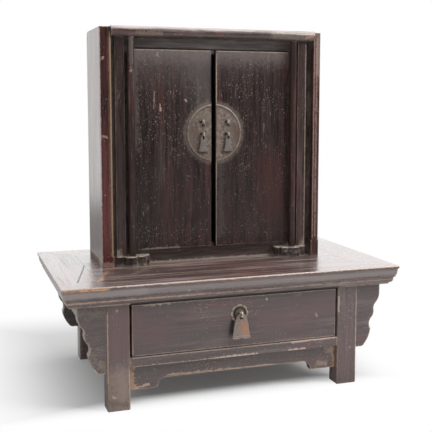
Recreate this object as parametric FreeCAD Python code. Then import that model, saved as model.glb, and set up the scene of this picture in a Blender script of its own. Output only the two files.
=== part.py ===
"""Altar cabinet: a two-door pivot-hung cupboard on a low stand with one drawer.

Millimetres. +Z is up, the front faces -Y, and X runs to the right. The origin lies on the floor,
under the middle of the stand's top.
"""
import FreeCAD, Part
import math
import os

V = FreeCAD.Vector
SIDES = ((-1, "left"), (1, "right"))

# Stand: overall sizes
TOP_WIDTH = 540.0
TOP_DEPTH = 306.0
TOP_Z = 192.0
TOP_THICKNESS = 31.0
TOP_UNDERSIDE = TOP_Z - TOP_THICKNESS
FRAME_WIDTH = 58.0
PANEL_THICKNESS = 12.0
TONGUE_DEPTH = 8.0
TONGUE_LOW = TOP_Z - 11.0
TONGUE_HIGH = TOP_Z - 6.0
FRAME_TENON_HALF = 11.0
FRAME_TENON_LOW = TOP_Z - 24.0
FRAME_TENON_HIGH = TOP_Z - 14.0
BATTEN_HALF = 15.0
BATTEN_LOW = TOP_Z - 26.0

# Stand: legs and rails
LEGS_WIDTH = 407.0
LEG_X = 34.0
LEG_Y = 27.0
LEG_FRONT = -135.5
LEG_BACK = 148.0
LEG_OUTER = LEGS_WIDTH / 2
LEG_INNER = LEG_OUTER - LEG_X
RAIL_TOP = 79.0
RAIL_BOTTOM = 64.0
RAIL_DEPTH = 18.5
SIDE_RAIL_THICKNESS = 12.0
SIDE_SETBACK = 4.5
PANEL_BOARD = 10.0
BACK_BOARD = 8.0
TENON = 12.0

# Apron under the drawer, and the spandrels outside the legs
APRON_SETBACK = 8.0
APRON_THICKNESS = 12.0
APRON_MIDDLE_Z = 41.5
APRON_END_Z = 27.0
APRON_END_LENGTH = 43.0
APRON_CORNER = 12.0
SPANDREL_REACH = 246.0
SPANDREL_FOOT = 58.3
SPANDREL_THICKNESS = 14.0
SPANDREL_SETBACK = 2.5
END_APRON_HEIGHT = 16.0
END_APRON_THICKNESS = 10.0

# Drawer
DRAWER_HALF = 166.3
DRAWER_BOTTOM = 80.0
DRAWER_TOP = 158.2
DRAWER_FRONT = -135.0
DRAWER_FRONT_THICKNESS = 18.0
DRAWER_BACK = 135.0
DRAWER_WALL = 10.0
DRAWER_WALL_TOP = 150.0
DRAWER_FLOOR_LOW = 86.0
DRAWER_FLOOR_HIGH = 92.0
DRAWER_FLOOR_GROOVE = 4.0
DOVETAIL_LENGTH = 10.0
RUNNER_TOP = DRAWER_BOTTOM - 0.3
RUNNER_BOTTOM = 69.0
GUIDE_GAP = 1.7
GUIDE_TOP = 96.0

# Cabinet carcass
CABINET_HALF = 187.5
CABINET_FRONT = -25.0
CABINET_BACK = 91.0
CABINET_TOP = 569.5
SIDE_INNER = {-1: 169.8, 1: 174.5}
OUTER_EDGE_RADIUS = 3.0
INNER_EDGE_RADIUS = 1.4
SIDE_FOOT_TOP = {-1: 210.0, 1: 218.0}
SIDE_FOOT_STEP = 1.2
BEAD_WIDTH = 3.0
QUIRK_WIDTH = 0.8
QUIRK_DEPTH = 0.9
QUIRK_TURN = 5.5
FLOOR_THICKNESS = 10.0
INNER_FRONT = -6.0
INNER_BACK = 4.0
BASE_RAIL_TOP = 221.0
STUB = 6.0
LINTEL_BOTTOM = 532.0
TOP_RAIL_LOW = 555.0
TOP_RAIL_HIGH = 571.5
TOP_RAIL_NOSE = -31.0
TOP_BOARD_LOW = 558.0
TOP_BOARD_HIGH = 568.0

# Jambs beside the doors
JAMB_FRONT = -19.5
JAMB_GROOVE_FLOOR = -12.0
JAMB_FILLET_OUTER = 163.7
JAMB_INNER = 147.7
JAMB_STOP = 140.5
JAMB_STOP_BACK = -1.0

# Doors and their pivots
DOOR_BOTTOM = 216.0
DOOR_TOP = 537.0
DOOR_FACE = -15.0
DOOR_THICKNESS = 8.5
SEAM = {-1: 3.4, 1: 4.1}
POST_X = 138.3
POST_Y = -22.5
POST_RADIUS = 5.6
DOOR_HINGE_EDGE = POST_X + 1.5
PIVOT_RADIUS = 3.4
PIVOT_LENGTH = 8.0
PIVOT_CLEARANCE = 0.08
END_GAP = 0.3

# Carved pivot blocks
BLOCK_INNER = 109.0
BLOCK_OUTER = 167.0
BLOCK_TOP = 209.0
LOBE_ROOT = -13.5
BLOCK_LOBES = [(-158.5, -13.5, 8.5), (-141.8, -19.5, 12.0), (-125.5, -18.5, 9.0), (-115.5, -13.5, 6.5)]

# Door hardware
PLATE_RADIUS = 46.5
PLATE_X = 1.4
PLATE_Z = 404.2
PLATE_THICKNESS = 1.2
PLATE_RIM = 4.0
PIN_X = {-1: -18.6, 1: 24.4}
PIN_UPPER_Z = 422.0
PIN_LOWER_Z = 402.0
DOOR_PIN = {"ring": 2.5, "strip": 1.4, "half_width": 0.85, "hole": 1.8, "tail": 9.0}
DOOR_PULL = {"drop": 0.8, "strap": 1.8, "thickness": 1.5, "hole": 1.65, "slot": 3.6}

# Drawer hardware
ROSETTE_RADIUS = 14.2
ROSETTE_LOBES = 8
ROSETTE_X = 2.0
ROSETTE_Z = 132.0
ROSETTE_THICKNESS = 1.2
BOSS_RADIUS = 9.0
DRAWER_PIN_X = 2.4
DRAWER_PIN_Z = 132.5
DRAWER_PIN = {"ring": 3.3, "strip": 2.1, "half_width": 1.2, "hole": 2.3, "tail": 14.0}
DRAWER_PULL = {"drop": 1.0, "strap": 2.4, "thickness": 2.4, "hole": 2.3, "slot": 2.0}


def box(x0, x1, y0, y1, z0, z1):
    """A box given by its limits along each axis."""
    return Part.makeBox(x1 - x0, y1 - y0, z1 - z0, V(x0, y0, z0))


def rod(x, y, z0, z1, radius):
    """An upright cylinder."""
    return Part.makeCylinder(radius, z1 - z0, V(x, y, z0), V(0, 0, 1))


def mirrored(shape):
    """The same piece on the other side of the middle plane."""
    return shape.mirror(V(0, 0, 0), V(1, 0, 0))


def outline(start, steps, place):
    """A closed wire: each step is one point for a line, or a middle and an end point for an arc."""
    edges = []
    here = place(*start)
    for step in steps:
        if len(step) == 1:
            there = place(*step[0])
            edges.append(Part.LineSegment(here, there).toShape())
        else:
            there = place(*step[1])
            edges.append(Part.Arc(here, place(*step[0]), there).toShape())
        here = there
    if (here - place(*start)).Length > 1e-6:
        edges.append(Part.LineSegment(here, place(*start)).toShape())
    return Part.Wire(edges)


def front_view(start, steps, y0, y1):
    """A board drawn in the XZ plane and y1 - y0 thick."""
    wire = outline(start, steps, lambda x, z: V(x, y0, z))
    return Part.Face(wire).extrude(V(0, y1 - y0, 0))


def side_view(start, steps, x0, x1):
    """A bar drawn in the YZ plane and x1 - x0 long."""
    wire = outline(start, steps, lambda y, z: V(x0, y, z))
    return Part.Face(wire).extrude(V(x1 - x0, 0, 0))


def plan_view(start, steps, z0, z1):
    """A block drawn in the XY plane and z1 - z0 high."""
    wire = outline(start, steps, lambda x, y: V(x, y, z0))
    return Part.Face(wire).extrude(V(0, 0, z1 - z0))


def polygon_plan(points, z0, z1):
    """A straight-sided block drawn in the XY plane."""
    return plan_view(points[0], [(p,) for p in points[1:]], z0, z1)


def along(edge, direction):
    """True for a straight edge that runs along a row axis."""
    if edge.Curve.TypeId != "Part::GeomLine":
        return False
    step = (edge.Vertexes[-1].Point - edge.Vertexes[0].Point).normalize()
    return abs(abs(step.dot(direction)) - 1.0) < 1e-6


def eased(shape, radius, wanted):
    """Round the edges that pass the test, as handling has worn them."""
    edges = [e for e in shape.Edges if wanted(e)]
    return shape.makeFillet(radius, edges)


def chamfered(shape, size, wanted):
    """Cut a narrow slope along the edges that pass the test."""
    edges = [e for e in shape.Edges if wanted(e)]
    return shape.makeChamfer(size, edges)


def round_edge(edge):
    """True for an edge that is a full circle."""
    return edge.Curve.TypeId == "Part::GeomCircle" and edge.Closed


def edge_middle(edge):
    """The point halfway along a straight edge."""
    return (edge.Vertexes[0].Point + edge.Vertexes[-1].Point) * 0.5


def save(name, shape):
    """Write one sub-part."""
    shape.exportStep("parts/" + name + ".step")


def moulding(edge):
    """The moulded edge of the stand's top, from the middle line out and down to the underside."""
    steps = [
        ((edge - 1.5, TOP_Z),),
        ((edge - 0.4, TOP_Z - 0.5), (edge, TOP_Z - 1.6)),
        ((edge, TOP_Z - 4.2),),
        ((edge - 0.3, TOP_Z - 4.9), (edge - 0.9, TOP_Z - 5.2)),
        ((edge - 1.8, TOP_Z - 5.6),),
        ((edge - 2.5, TOP_Z - 12.5), (edge - 4.9, TOP_Z - 19.2)),
        ((edge - 6.8, TOP_Z - 20.4),),
        ((edge - 7.1, TOP_Z - 24.9), (edge - 9.4, TOP_Z - 28.2)),
        ((edge - 12.0, TOP_Z - 28.6),),
        ((edge - 12.0, TOP_UNDERSIDE),),
        ((0.0, TOP_UNDERSIDE),),
    ]
    return (0.0, TOP_Z), steps


def moulded_blank():
    """The whole top as one block: moulded on the front and both ends, plain at the back."""
    start, steps = moulding(TOP_WIDTH / 2)
    right_half = front_view(start, steps, -TOP_DEPTH / 2, TOP_DEPTH / 2)
    ends = right_half.fuse(mirrored(right_half)).removeSplitter()
    start, steps = moulding(TOP_DEPTH / 2)
    front_half = side_view(start, steps, -TOP_WIDTH / 2, TOP_WIDTH / 2).mirror(V(0, 0, 0), V(0, 1, 0))
    back_half = box(-TOP_WIDTH / 2, TOP_WIDTH / 2, 0.0, TOP_DEPTH / 2, TOP_UNDERSIDE, TOP_Z)
    back_half = eased(back_half, 1.5, lambda e: along(e, V(1, 0, 0)) and edge_middle(e).y > 1.0)
    return ends.common(front_half.fuse(back_half).removeSplitter()).removeSplitter()


def make_stand_top():
    """Four mitred rails, the floating panel with its tongue, and the batten under it."""
    blank = moulded_blank()
    x_out = TOP_WIDTH / 2
    y_out = TOP_DEPTH / 2
    x_in = x_out - FRAME_WIDTH
    y_in = y_out - FRAME_WIDTH
    tongue = box(-x_in - TONGUE_DEPTH, x_in + TONGUE_DEPTH, -y_in - TONGUE_DEPTH, y_in + TONGUE_DEPTH,
                 TONGUE_LOW, TONGUE_HIGH)
    low = TOP_UNDERSIDE - 1
    high = TOP_Z + 1
    front_zone = polygon_plan([(-x_out, -y_out), (x_out, -y_out), (x_in, -y_in), (-x_in, -y_in)], low, high)
    back_zone = polygon_plan([(-x_out, y_out), (-x_in, y_in), (x_in, y_in), (x_out, y_out)], low, high)
    left_zone = polygon_plan([(-x_out, -y_out), (-x_in, -y_in), (-x_in, y_in), (-x_out, y_out)], low, high)
    rails = {
        "top_front_rail": blank.common(front_zone).cut(tongue),
        "top_back_rail": blank.common(back_zone).cut(tongue),
        "top_left_rail": blank.common(left_zone).cut(tongue),
    }
    tenon_x = x_out - 36.0
    for side in (-1, 1):
        for end, rail in ((-1, "top_front_rail"), (1, "top_back_rail")):
            reach = sorted((end * (y_out - 15.0), end * (y_out - 52.0)))
            tenon = box(side * tenon_x - FRAME_TENON_HALF, side * tenon_x + FRAME_TENON_HALF, reach[0],
                        reach[1], FRAME_TENON_LOW, FRAME_TENON_HIGH)
            rails[rail] = rails[rail].cut(tenon)
            if side < 0:
                rails["top_left_rail"] = rails["top_left_rail"].fuse(tenon)
    rails["top_left_rail"] = rails["top_left_rail"].removeSplitter()
    rails["top_right_rail"] = mirrored(rails["top_left_rail"])
    for centre_y in (LEG_FRONT + LEG_Y / 2, LEG_BACK - LEG_Y / 2):
        rail = "top_front_rail" if centre_y < 0 else "top_back_rail"
        for side in (-1, 1):
            rails[rail] = rails[rail].cut(leg_tenon(side, centre_y))
    for name, rail in rails.items():
        save(name, rail)
    panel = box(-x_in, x_in, -y_in, y_in, TOP_Z - PANEL_THICKNESS, TOP_Z)
    save("top_panel", panel.fuse(tongue).removeSplitter())
    batten = box(-BATTEN_HALF, BATTEN_HALF, -y_in, y_in, BATTEN_LOW, TOP_Z - PANEL_THICKNESS)
    batten = chamfered(batten, 2.0, lambda e: along(e, V(0, 1, 0)) and edge_middle(e).z < BATTEN_LOW + 1)
    save("panel_batten", batten)


def leg_tenon(side, centre_y):
    """The tenon on a leg's head, which enters the top frame."""
    centre_x = side * (LEG_OUTER - LEG_X / 2)
    return box(centre_x - 9.0, centre_x + 9.0, centre_y - 6.0, centre_y + 6.0, TOP_UNDERSIDE,
               TOP_UNDERSIDE + 12.0)


def cross_rail_tenon(side, y_middle):
    """The tenon on the end of a front or back rail."""
    reach = sorted((side * LEG_INNER, side * (LEG_INNER + TENON)))
    return box(reach[0], reach[1], y_middle - 4.0, y_middle + 4.0, RAIL_BOTTOM + 3.0, RAIL_TOP - 3.0)


def side_rail_tenon(end):
    """The tenon on one end of the left side rail."""
    inner = LEG_FRONT + LEG_Y if end < 0 else LEG_BACK - LEG_Y
    reach = sorted((inner, inner + end * TENON))
    x_middle = -(LEG_OUTER - SIDE_SETBACK - SIDE_RAIL_THICKNESS / 2)
    return box(x_middle - 3.0, x_middle + 3.0, reach[0], reach[1], RAIL_BOTTOM + 3.0, RAIL_TOP - 3.0)


def make_legs():
    """Four square legs with tenons on their heads and mortises for the rails."""
    for end, label in ((-1, "front"), (1, "back")):
        y0 = LEG_FRONT if end < 0 else LEG_BACK - LEG_Y
        leg = box(-LEG_OUTER, -LEG_INNER, y0, y0 + LEG_Y, 0.0, TOP_UNDERSIDE)
        leg = chamfered(leg, 1.0, lambda e: along(e, V(0, 0, 1)) or e.BoundBox.ZMax < 0.01)
        leg = leg.fuse(leg_tenon(-1, y0 + LEG_Y / 2)).removeSplitter()
        rail_middle = LEG_FRONT + RAIL_DEPTH / 2 if end < 0 else LEG_BACK - RAIL_DEPTH / 2
        leg = leg.cut(cross_rail_tenon(-1, rail_middle)).cut(side_rail_tenon(end))
        save(label + "_left_leg", leg)
        save(label + "_right_leg", mirrored(leg))


def make_stand_rails():
    """The rail under the drawer, the back rail and the two side rails."""
    for label, y0 in (("drawer_rail", LEG_FRONT), ("back_rail", LEG_BACK - RAIL_DEPTH)):
        rail = box(-LEG_INNER, LEG_INNER, y0, y0 + RAIL_DEPTH, RAIL_BOTTOM, RAIL_TOP)
        if y0 < 0:
            rail = eased(rail, 1.5, lambda e: along(e, V(1, 0, 0)) and edge_middle(e).y < y0 + 1.0)
        for side in (-1, 1):
            rail = rail.fuse(cross_rail_tenon(side, y0 + RAIL_DEPTH / 2))
        save(label, rail.removeSplitter())
    x0 = -(LEG_OUTER - SIDE_SETBACK)
    side_rail = box(x0, x0 + SIDE_RAIL_THICKNESS, LEG_FRONT + LEG_Y, LEG_BACK - LEG_Y, RAIL_BOTTOM, RAIL_TOP)
    side_rail = side_rail.fuse([side_rail_tenon(-1), side_rail_tenon(1)]).removeSplitter()
    save("left_side_rail", side_rail)
    save("right_side_rail", mirrored(side_rail))


def make_stand_panels():
    """Boards that close the stand's sides and back."""
    x0 = -(LEG_OUTER - SIDE_SETBACK - 1.0)
    side = box(x0, x0 + PANEL_BOARD, LEG_FRONT + LEG_Y, LEG_BACK - LEG_Y, RAIL_TOP, TOP_UNDERSIDE)
    save("left_side_panel", side)
    save("right_side_panel", mirrored(side))
    back_y = LEG_BACK - 4.0
    save("stand_back_panel", box(-LEG_INNER, LEG_INNER, back_y - BACK_BOARD, back_y, RAIL_TOP, TOP_UNDERSIDE))


def make_apron():
    """The shaped board under the drawer rail, with a short foot at each end."""
    y0 = LEG_FRONT + APRON_SETBACK
    foot_x = LEG_INNER - APRON_END_LENGTH
    corner_x = foot_x - APRON_CORNER - 4.0
    step_z = APRON_END_Z + 3.5
    bend = APRON_CORNER * 0.3
    steps = [
        ((LEG_INNER, APRON_END_Z),),
        ((foot_x, APRON_END_Z),),
        ((foot_x - 0.6, step_z),),
        ((foot_x - bend - 1.0, APRON_MIDDLE_Z - bend), (corner_x, APRON_MIDDLE_Z)),
        ((-corner_x, APRON_MIDDLE_Z),),
        ((-foot_x + bend + 1.0, APRON_MIDDLE_Z - bend), (-foot_x + 0.6, step_z)),
        ((-foot_x, APRON_END_Z),),
        ((-LEG_INNER, APRON_END_Z),),
        ((-LEG_INNER, RAIL_BOTTOM),),
    ]
    save("apron", front_view((LEG_INNER, RAIL_BOTTOM), steps, y0, y0 + APRON_THICKNESS))


def make_spandrels():
    """Wavy brackets outside the legs, and the strips that join them under each end."""
    reach = SPANDREL_REACH
    foot = SPANDREL_FOOT
    steps = [
        ((reach, TOP_UNDERSIDE),),
        ((reach, TOP_UNDERSIDE - 18.0),),
        ((reach - 2.2, TOP_UNDERSIDE - 25.5), (reach - 7.0, TOP_UNDERSIDE - 32.5)),
        ((reach - 9.4, TOP_UNDERSIDE - 36.5), (reach - 10.2, TOP_UNDERSIDE - 41.5)),
        ((reach - 10.4, TOP_UNDERSIDE - 50.0), (reach - 14.0, TOP_UNDERSIDE - 56.0)),
        ((reach - 17.6, TOP_UNDERSIDE - 63.5), (reach - 15.4, TOP_UNDERSIDE - 74.3)),
        ((reach - 18.6, TOP_UNDERSIDE - 87.0), (reach - 25.4, TOP_UNDERSIDE - 98.0)),
        ((reach - 28.6, foot + 1.2), (reach - 33.0, foot)),
        ((LEG_OUTER, foot),),
    ]
    bracket_front = LEG_FRONT + SPANDREL_SETBACK
    back_bracket = LEG_BACK - SPANDREL_THICKNESS
    for label, y0 in (("front", bracket_front), ("back", back_bracket)):
        bracket = front_view((LEG_OUTER, TOP_UNDERSIDE), steps, y0, y0 + SPANDREL_THICKNESS)
        save(label + "_right_spandrel", bracket)
        save(label + "_left_spandrel", mirrored(bracket))
    strip = box(reach - END_APRON_THICKNESS, reach, bracket_front + SPANDREL_THICKNESS, back_bracket,
                TOP_UNDERSIDE - END_APRON_HEIGHT, TOP_UNDERSIDE)
    save("right_end_apron", strip)
    save("left_end_apron", mirrored(strip))


def make_runners():
    """L-shaped runners: each carries one side of the drawer and guides it."""
    guide_x = DRAWER_HALF + GUIDE_GAP
    wall_x = LEG_OUTER - SIDE_SETBACK - 1.0 - PANEL_BOARD
    y0 = LEG_FRONT + LEG_Y
    y1 = LEG_BACK - LEG_Y
    steps = [
        ((wall_x, RUNNER_BOTTOM),),
        ((wall_x, GUIDE_TOP),),
        ((guide_x, GUIDE_TOP),),
        ((guide_x, RUNNER_TOP),),
        ((DRAWER_HALF - 18.0, RUNNER_TOP),),
    ]
    runner = front_view((DRAWER_HALF - 18.0, RUNNER_BOTTOM), steps, y0, y1)
    rail_x = LEG_OUTER - SIDE_SETBACK - SIDE_RAIL_THICKNESS
    runner = runner.cut(box(rail_x, wall_x + 1.0, y0 - 1.0, y1 + 1.0, RUNNER_BOTTOM - 1.0, RAIL_TOP))
    save("right_runner", runner)
    save("left_runner", mirrored(runner))


def dovetails(side, front_y):
    """The tails on the front end of a drawer side, which lock into the drawer front."""
    tails = []
    x0, x1 = sorted((side * DRAWER_HALF, side * (DRAWER_HALF - DRAWER_WALL)))
    tip_y = front_y - DOVETAIL_LENGTH
    for middle_z in (105.0, 135.0):
        steps = [((front_y, middle_z + 7.0),), ((tip_y, middle_z + 9.5),), ((tip_y, middle_z - 9.5),)]
        tails.append(side_view((front_y, middle_z - 7.0), steps, x0, x1))
    return tails


def make_drawer():
    """The drawer box: lapped dovetails at the front, a bottom in grooves and a housed back."""
    inner_face = DRAWER_FRONT + DRAWER_FRONT_THICKNESS
    floor_half = DRAWER_HALF - DRAWER_WALL + DRAWER_FLOOR_GROOVE
    floor = box(-floor_half, floor_half, inner_face - 5.0, DRAWER_BACK, DRAWER_FLOOR_LOW, DRAWER_FLOOR_HIGH)
    front = box(-DRAWER_HALF, DRAWER_HALF, DRAWER_FRONT, inner_face, DRAWER_BOTTOM, DRAWER_TOP)
    front = chamfered(front, 1.0, lambda e: e.BoundBox.YMax < DRAWER_FRONT + 0.5)
    front = front.cut(dovetails(-1, inner_face) + dovetails(1, inner_face) + [floor])
    front = front.cut(pin_hole(DRAWER_PIN_X, DRAWER_PIN_Z, DRAWER_FRONT, DRAWER_FRONT_THICKNESS,
                               DRAWER_PIN["hole"]))
    save("drawer_front", front)
    wall = box(-DRAWER_HALF, -DRAWER_HALF + DRAWER_WALL, inner_face, DRAWER_BACK, DRAWER_BOTTOM,
               DRAWER_WALL_TOP)
    wall = wall.fuse(dovetails(-1, inner_face)).cut(floor)
    back_y0 = DRAWER_BACK - 20.0
    inner_x = DRAWER_HALF - DRAWER_WALL
    housed_x = inner_x + 3.0
    back = box(-housed_x, housed_x, back_y0, back_y0 + 9.0, DRAWER_FLOOR_HIGH, DRAWER_WALL_TOP - 4.0)
    wall = wall.cut(back).removeSplitter()
    save("drawer_left_side", wall)
    save("drawer_right_side", mirrored(wall))
    save("drawer_back", back)
    save("drawer_bottom", floor)


def pin_hole(x, z, face_y, depth, radius):
    """The hole that a split pin goes through."""
    return Part.makeCylinder(radius, depth + 2.0, V(x, face_y - 1.0, z), V(0, 1, 0))


def eye_centre_y(face_y, pin):
    """How far forward the middle of a split pin's eye stands."""
    return face_y - pin["ring"] - pin["strip"] + 0.4


def split_pin(x, z, face_y, inside_y, pin):
    """A pin of bent strip: an eye in front of the face, two legs through the board, tails flat behind."""
    half = pin["half_width"]
    side = V(x - half, eye_centre_y(face_y, pin), z)
    eye = Part.makeCylinder(pin["ring"] + pin["strip"], 2 * half, side, V(1, 0, 0))
    eye = eye.cut(Part.makeCylinder(pin["ring"], 2 * half, side, V(1, 0, 0)))
    legs = box(x - half, x + half, face_y - 0.6, inside_y + 1.0, z - pin["strip"], z + pin["strip"])
    legs = legs.common(pin_hole(x, z, face_y, inside_y - face_y, pin["hole"] - 0.05))
    tails = box(x - half, x + half, inside_y, inside_y + 1.0, z - pin["tail"], z + pin["tail"])
    return eye.fuse([legs, tails]).removeSplitter()


def pendant(x, face_y, eye_z, pin, pull, profile):
    """A flat pull hanging on an eye: the strap over its slotted hole lies inside the eye."""
    pivot_y = eye_centre_y(face_y, pin)
    pivot_z = eye_z - pull["drop"]
    front_y = pivot_y - pull["thickness"] / 2
    blade = profile(x, pivot_z, front_y, front_y + pull["thickness"])
    radius = pull["hole"]
    upper_z = pivot_z - pull["strap"] / 2 - radius
    lower_z = upper_z - pull["slot"]
    slot = box(x - radius, x + radius, front_y - 2.0, front_y + 4.0, lower_z, upper_z)
    for z in (upper_z, lower_z):
        slot = slot.fuse(Part.makeCylinder(radius, 6.0, V(x, front_y - 2.0, z), V(0, 1, 0)))
    return blade.cut(slot)


def drawer_pull_profile(x, pivot_z, y0, y1):
    """A bell-shaped blade with round shoulders, a thicker foot and a notch in the middle of the foot."""
    top = pivot_z + 1.2
    right = [
        ((x + 5.8, top - 1.5), (x + 8.2, top - 5.6)),
        ((x + 10.2, top - 12.5), (x + 11.7, top - 20.5)),
        ((x + 13.0, top - 28.5), (x + 14.5, top - 35.6)),
        ((x + 14.8, top - 37.2), (x + 13.2, top - 38.2)),
        ((x + 7.0, top - 38.8), (x + 1.4, top - 38.0)),
        ((x, top - 36.0),),
    ]
    half = front_view((x, top), right, y0, y1)
    foot_band = half.common(box(x, x + 20.0, y0, y1, top - 60.0, top - 34.5))
    foot_band.translate(V(0, -0.8, 0))
    half = half.fuse(foot_band)
    other_half = half.mirror(V(x, 0, 0), V(1, 0, 0))
    return half.fuse(other_half).removeSplitter()


def door_pull_profile(x, pivot_z, y0, y1):
    """A small bell-shaped blade with round shoulders and a nearly straight foot."""
    top = pivot_z + 0.9
    right = [
        ((x + 2.8, top - 1.0), (x + 3.9, top - 3.6)),
        ((x + 4.2, top - 7.5), (x + 4.8, top - 12.0)),
        ((x + 5.9, top - 19.5), (x + 7.4, top - 26.0)),
        ((x + 7.7, top - 27.4), (x + 6.4, top - 28.1)),
        ((x + 3.2, top - 28.5), (x, top - 28.6)),
    ]
    half = front_view((x, top), right, y0, y1)
    other_half = half.mirror(V(x, 0, 0), V(1, 0, 0))
    return half.fuse(other_half).removeSplitter()


def make_drawer_hardware():
    """The scalloped rosette, the split pin through it and the flared pendant."""
    steps = []
    valley = ROSETTE_RADIUS * 0.88
    half_lobe = math.pi / ROSETTE_LOBES
    for lobe in range(ROSETTE_LOBES):
        crown_angle = 2 * half_lobe * lobe
        end_angle = crown_angle + half_lobe
        crown = (ROSETTE_X + ROSETTE_RADIUS * math.cos(crown_angle),
                 ROSETTE_Z + ROSETTE_RADIUS * math.sin(crown_angle))
        end = (ROSETTE_X + valley * math.cos(end_angle), ROSETTE_Z + valley * math.sin(end_angle))
        steps.append((crown, end))
    start = (ROSETTE_X + valley * math.cos(-half_lobe), ROSETTE_Z + valley * math.sin(-half_lobe))
    face = DRAWER_FRONT - ROSETTE_THICKNESS
    rosette = front_view(start, steps, face, DRAWER_FRONT)
    boss = Part.makeCylinder(BOSS_RADIUS, 0.9, V(ROSETTE_X, face - 0.9, ROSETTE_Z), V(0, 1, 0))
    rosette = rosette.fuse(boss).removeSplitter()
    save("drawer_rosette", rosette.cut(pin_hole(DRAWER_PIN_X, DRAWER_PIN_Z, face - 1.0, 2.2,
                                                DRAWER_PIN["hole"])))
    face = face - 0.9
    inner_face = DRAWER_FRONT + DRAWER_FRONT_THICKNESS
    save("drawer_split_pin", split_pin(DRAWER_PIN_X, DRAWER_PIN_Z, face, inner_face, DRAWER_PIN))
    pull = pendant(DRAWER_PIN_X, face, DRAWER_PIN_Z, DRAWER_PIN, DRAWER_PULL, drawer_pull_profile)
    save("drawer_pull", pull)


def across(y0, y1, z0, z1):
    """A board that spans the cabinet between its side boards."""
    return box(-SIDE_INNER[-1], SIDE_INNER[1], y0, y1, z0, z1)


def front_edge(edge):
    """True for an upright edge at the front of a side board."""
    return along(edge, V(0, 0, 1)) and edge_middle(edge).y < CABINET_FRONT + 1


def side_foot(side):
    """The square foot of a side board, where its rounded edges and its bead stop."""
    x0, x1 = sorted((side * CABINET_HALF, side * (SIDE_INNER[side] - SIDE_FOOT_STEP)))
    foot = box(x0, x1, CABINET_FRONT, CABINET_FRONT + 7.0, TOP_Z, SIDE_FOOT_TOP[side])
    return chamfered(foot, 0.6, lambda e: along(e, V(0, 0, 1)) and edge_middle(e).y < CABINET_FRONT + 1)


def bead_quirk(side):
    """The fine groove behind the bead on a side board's inner front edge. It turns outward at the foot."""
    line = SIDE_INNER[side] + BEAD_WIDTH
    front = CABINET_FRONT - 1.0
    depth = QUIRK_DEPTH + 1.0
    turn_z = SIDE_FOOT_TOP[side] + QUIRK_TURN
    x0, x1 = sorted((side * line, side * (line + QUIRK_WIDTH)))
    straight = box(x0, x1, front, front + depth, turn_z, CABINET_TOP + 1.0)
    centre = V(side * (line + QUIRK_TURN), front, turn_z)
    ring = Part.makeCylinder(QUIRK_TURN, depth, centre, V(0, 1, 0))
    ring = ring.cut(Part.makeCylinder(QUIRK_TURN - QUIRK_WIDTH, depth, centre, V(0, 1, 0)))
    x0, x1 = sorted((side * line, side * (line + QUIRK_TURN)))
    quarter = ring.common(box(x0, x1, front, front + depth, SIDE_FOOT_TOP[side], turn_z))
    return straight.fuse(quarter)


def make_carcass():
    """Side boards, floor, top, back, and the rails that frame the doors."""
    stubs = []
    for z0, z1 in ((LINTEL_BOTTOM, TOP_RAIL_LOW), (TOP_Z, BASE_RAIL_TOP)):
        for side, _ in SIDES:
            x0, x1 = sorted((side * SIDE_INNER[side], side * (SIDE_INNER[side] + STUB)))
            stubs.append(box(x0, x1, INNER_FRONT + 2.0, INNER_BACK - 2.0, z0 + 5.0, z1 - 5.0))
    floor = box(-CABINET_HALF, CABINET_HALF, INNER_BACK, CABINET_BACK, TOP_Z, TOP_Z + FLOOR_THICKNESS)
    for side, name in SIDES:
        x0, x1 = sorted((side * CABINET_HALF, side * SIDE_INNER[side]))
        board = box(x0, x1, CABINET_FRONT, CABINET_BACK, TOP_Z, CABINET_TOP)
        board = eased(board, 12.0, lambda e: along(e, V(1, 0, 0)) and edge_middle(e).y > 0
                      and edge_middle(e).z > CABINET_TOP - 1)
        board = eased(board, OUTER_EDGE_RADIUS, lambda e: front_edge(e) and abs(edge_middle(e).x) > 180)
        board = eased(board, INNER_EDGE_RADIUS, lambda e: front_edge(e) and abs(edge_middle(e).x) < 180)
        board = board.cut(bead_quirk(side)).fuse(side_foot(side)).removeSplitter()
        save(name + "_side_board", board.cut([floor] + stubs))
    save("cabinet_floor", floor)
    save("cabinet_top_board", across(INNER_BACK, CABINET_BACK, TOP_BOARD_LOW, TOP_BOARD_HIGH))
    middle_z = (TOP_RAIL_LOW + TOP_RAIL_HIGH) / 2
    rail_steps = [
        ((INNER_BACK, TOP_RAIL_HIGH),),
        ((INNER_BACK, TOP_RAIL_LOW),),
        ((CABINET_FRONT, TOP_RAIL_LOW),),
        ((TOP_RAIL_NOSE, middle_z), (CABINET_FRONT, TOP_RAIL_HIGH)),
    ]
    rail = side_view((CABINET_FRONT, TOP_RAIL_HIGH), rail_steps, -SIDE_INNER[-1], SIDE_INNER[1])
    for side, _ in SIDES:
        rail = rail.cut(rod(side * POST_X, POST_Y, TOP_RAIL_LOW - 1, TOP_RAIL_LOW + PIVOT_LENGTH + 0.5,
                            PIVOT_RADIUS + PIVOT_CLEARANCE))
    save("top_rail", rail)
    lintel = across(INNER_FRONT, INNER_BACK, LINTEL_BOTTOM, TOP_RAIL_LOW)
    save("lintel", lintel.fuse(stubs[:2]).removeSplitter())
    base = across(INNER_FRONT, INNER_BACK, TOP_Z, BASE_RAIL_TOP)
    save("base_rail", base.fuse(stubs[2:]).removeSplitter())
    for side, name in SIDES:
        x0, x1 = sorted((0.0, side * SIDE_INNER[side]))
        save(name + "_back_board", box(x0, x1, CABINET_BACK - BACK_BOARD, CABINET_BACK,
                                       TOP_Z + FLOOR_THICKNESS, TOP_BOARD_LOW))


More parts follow.
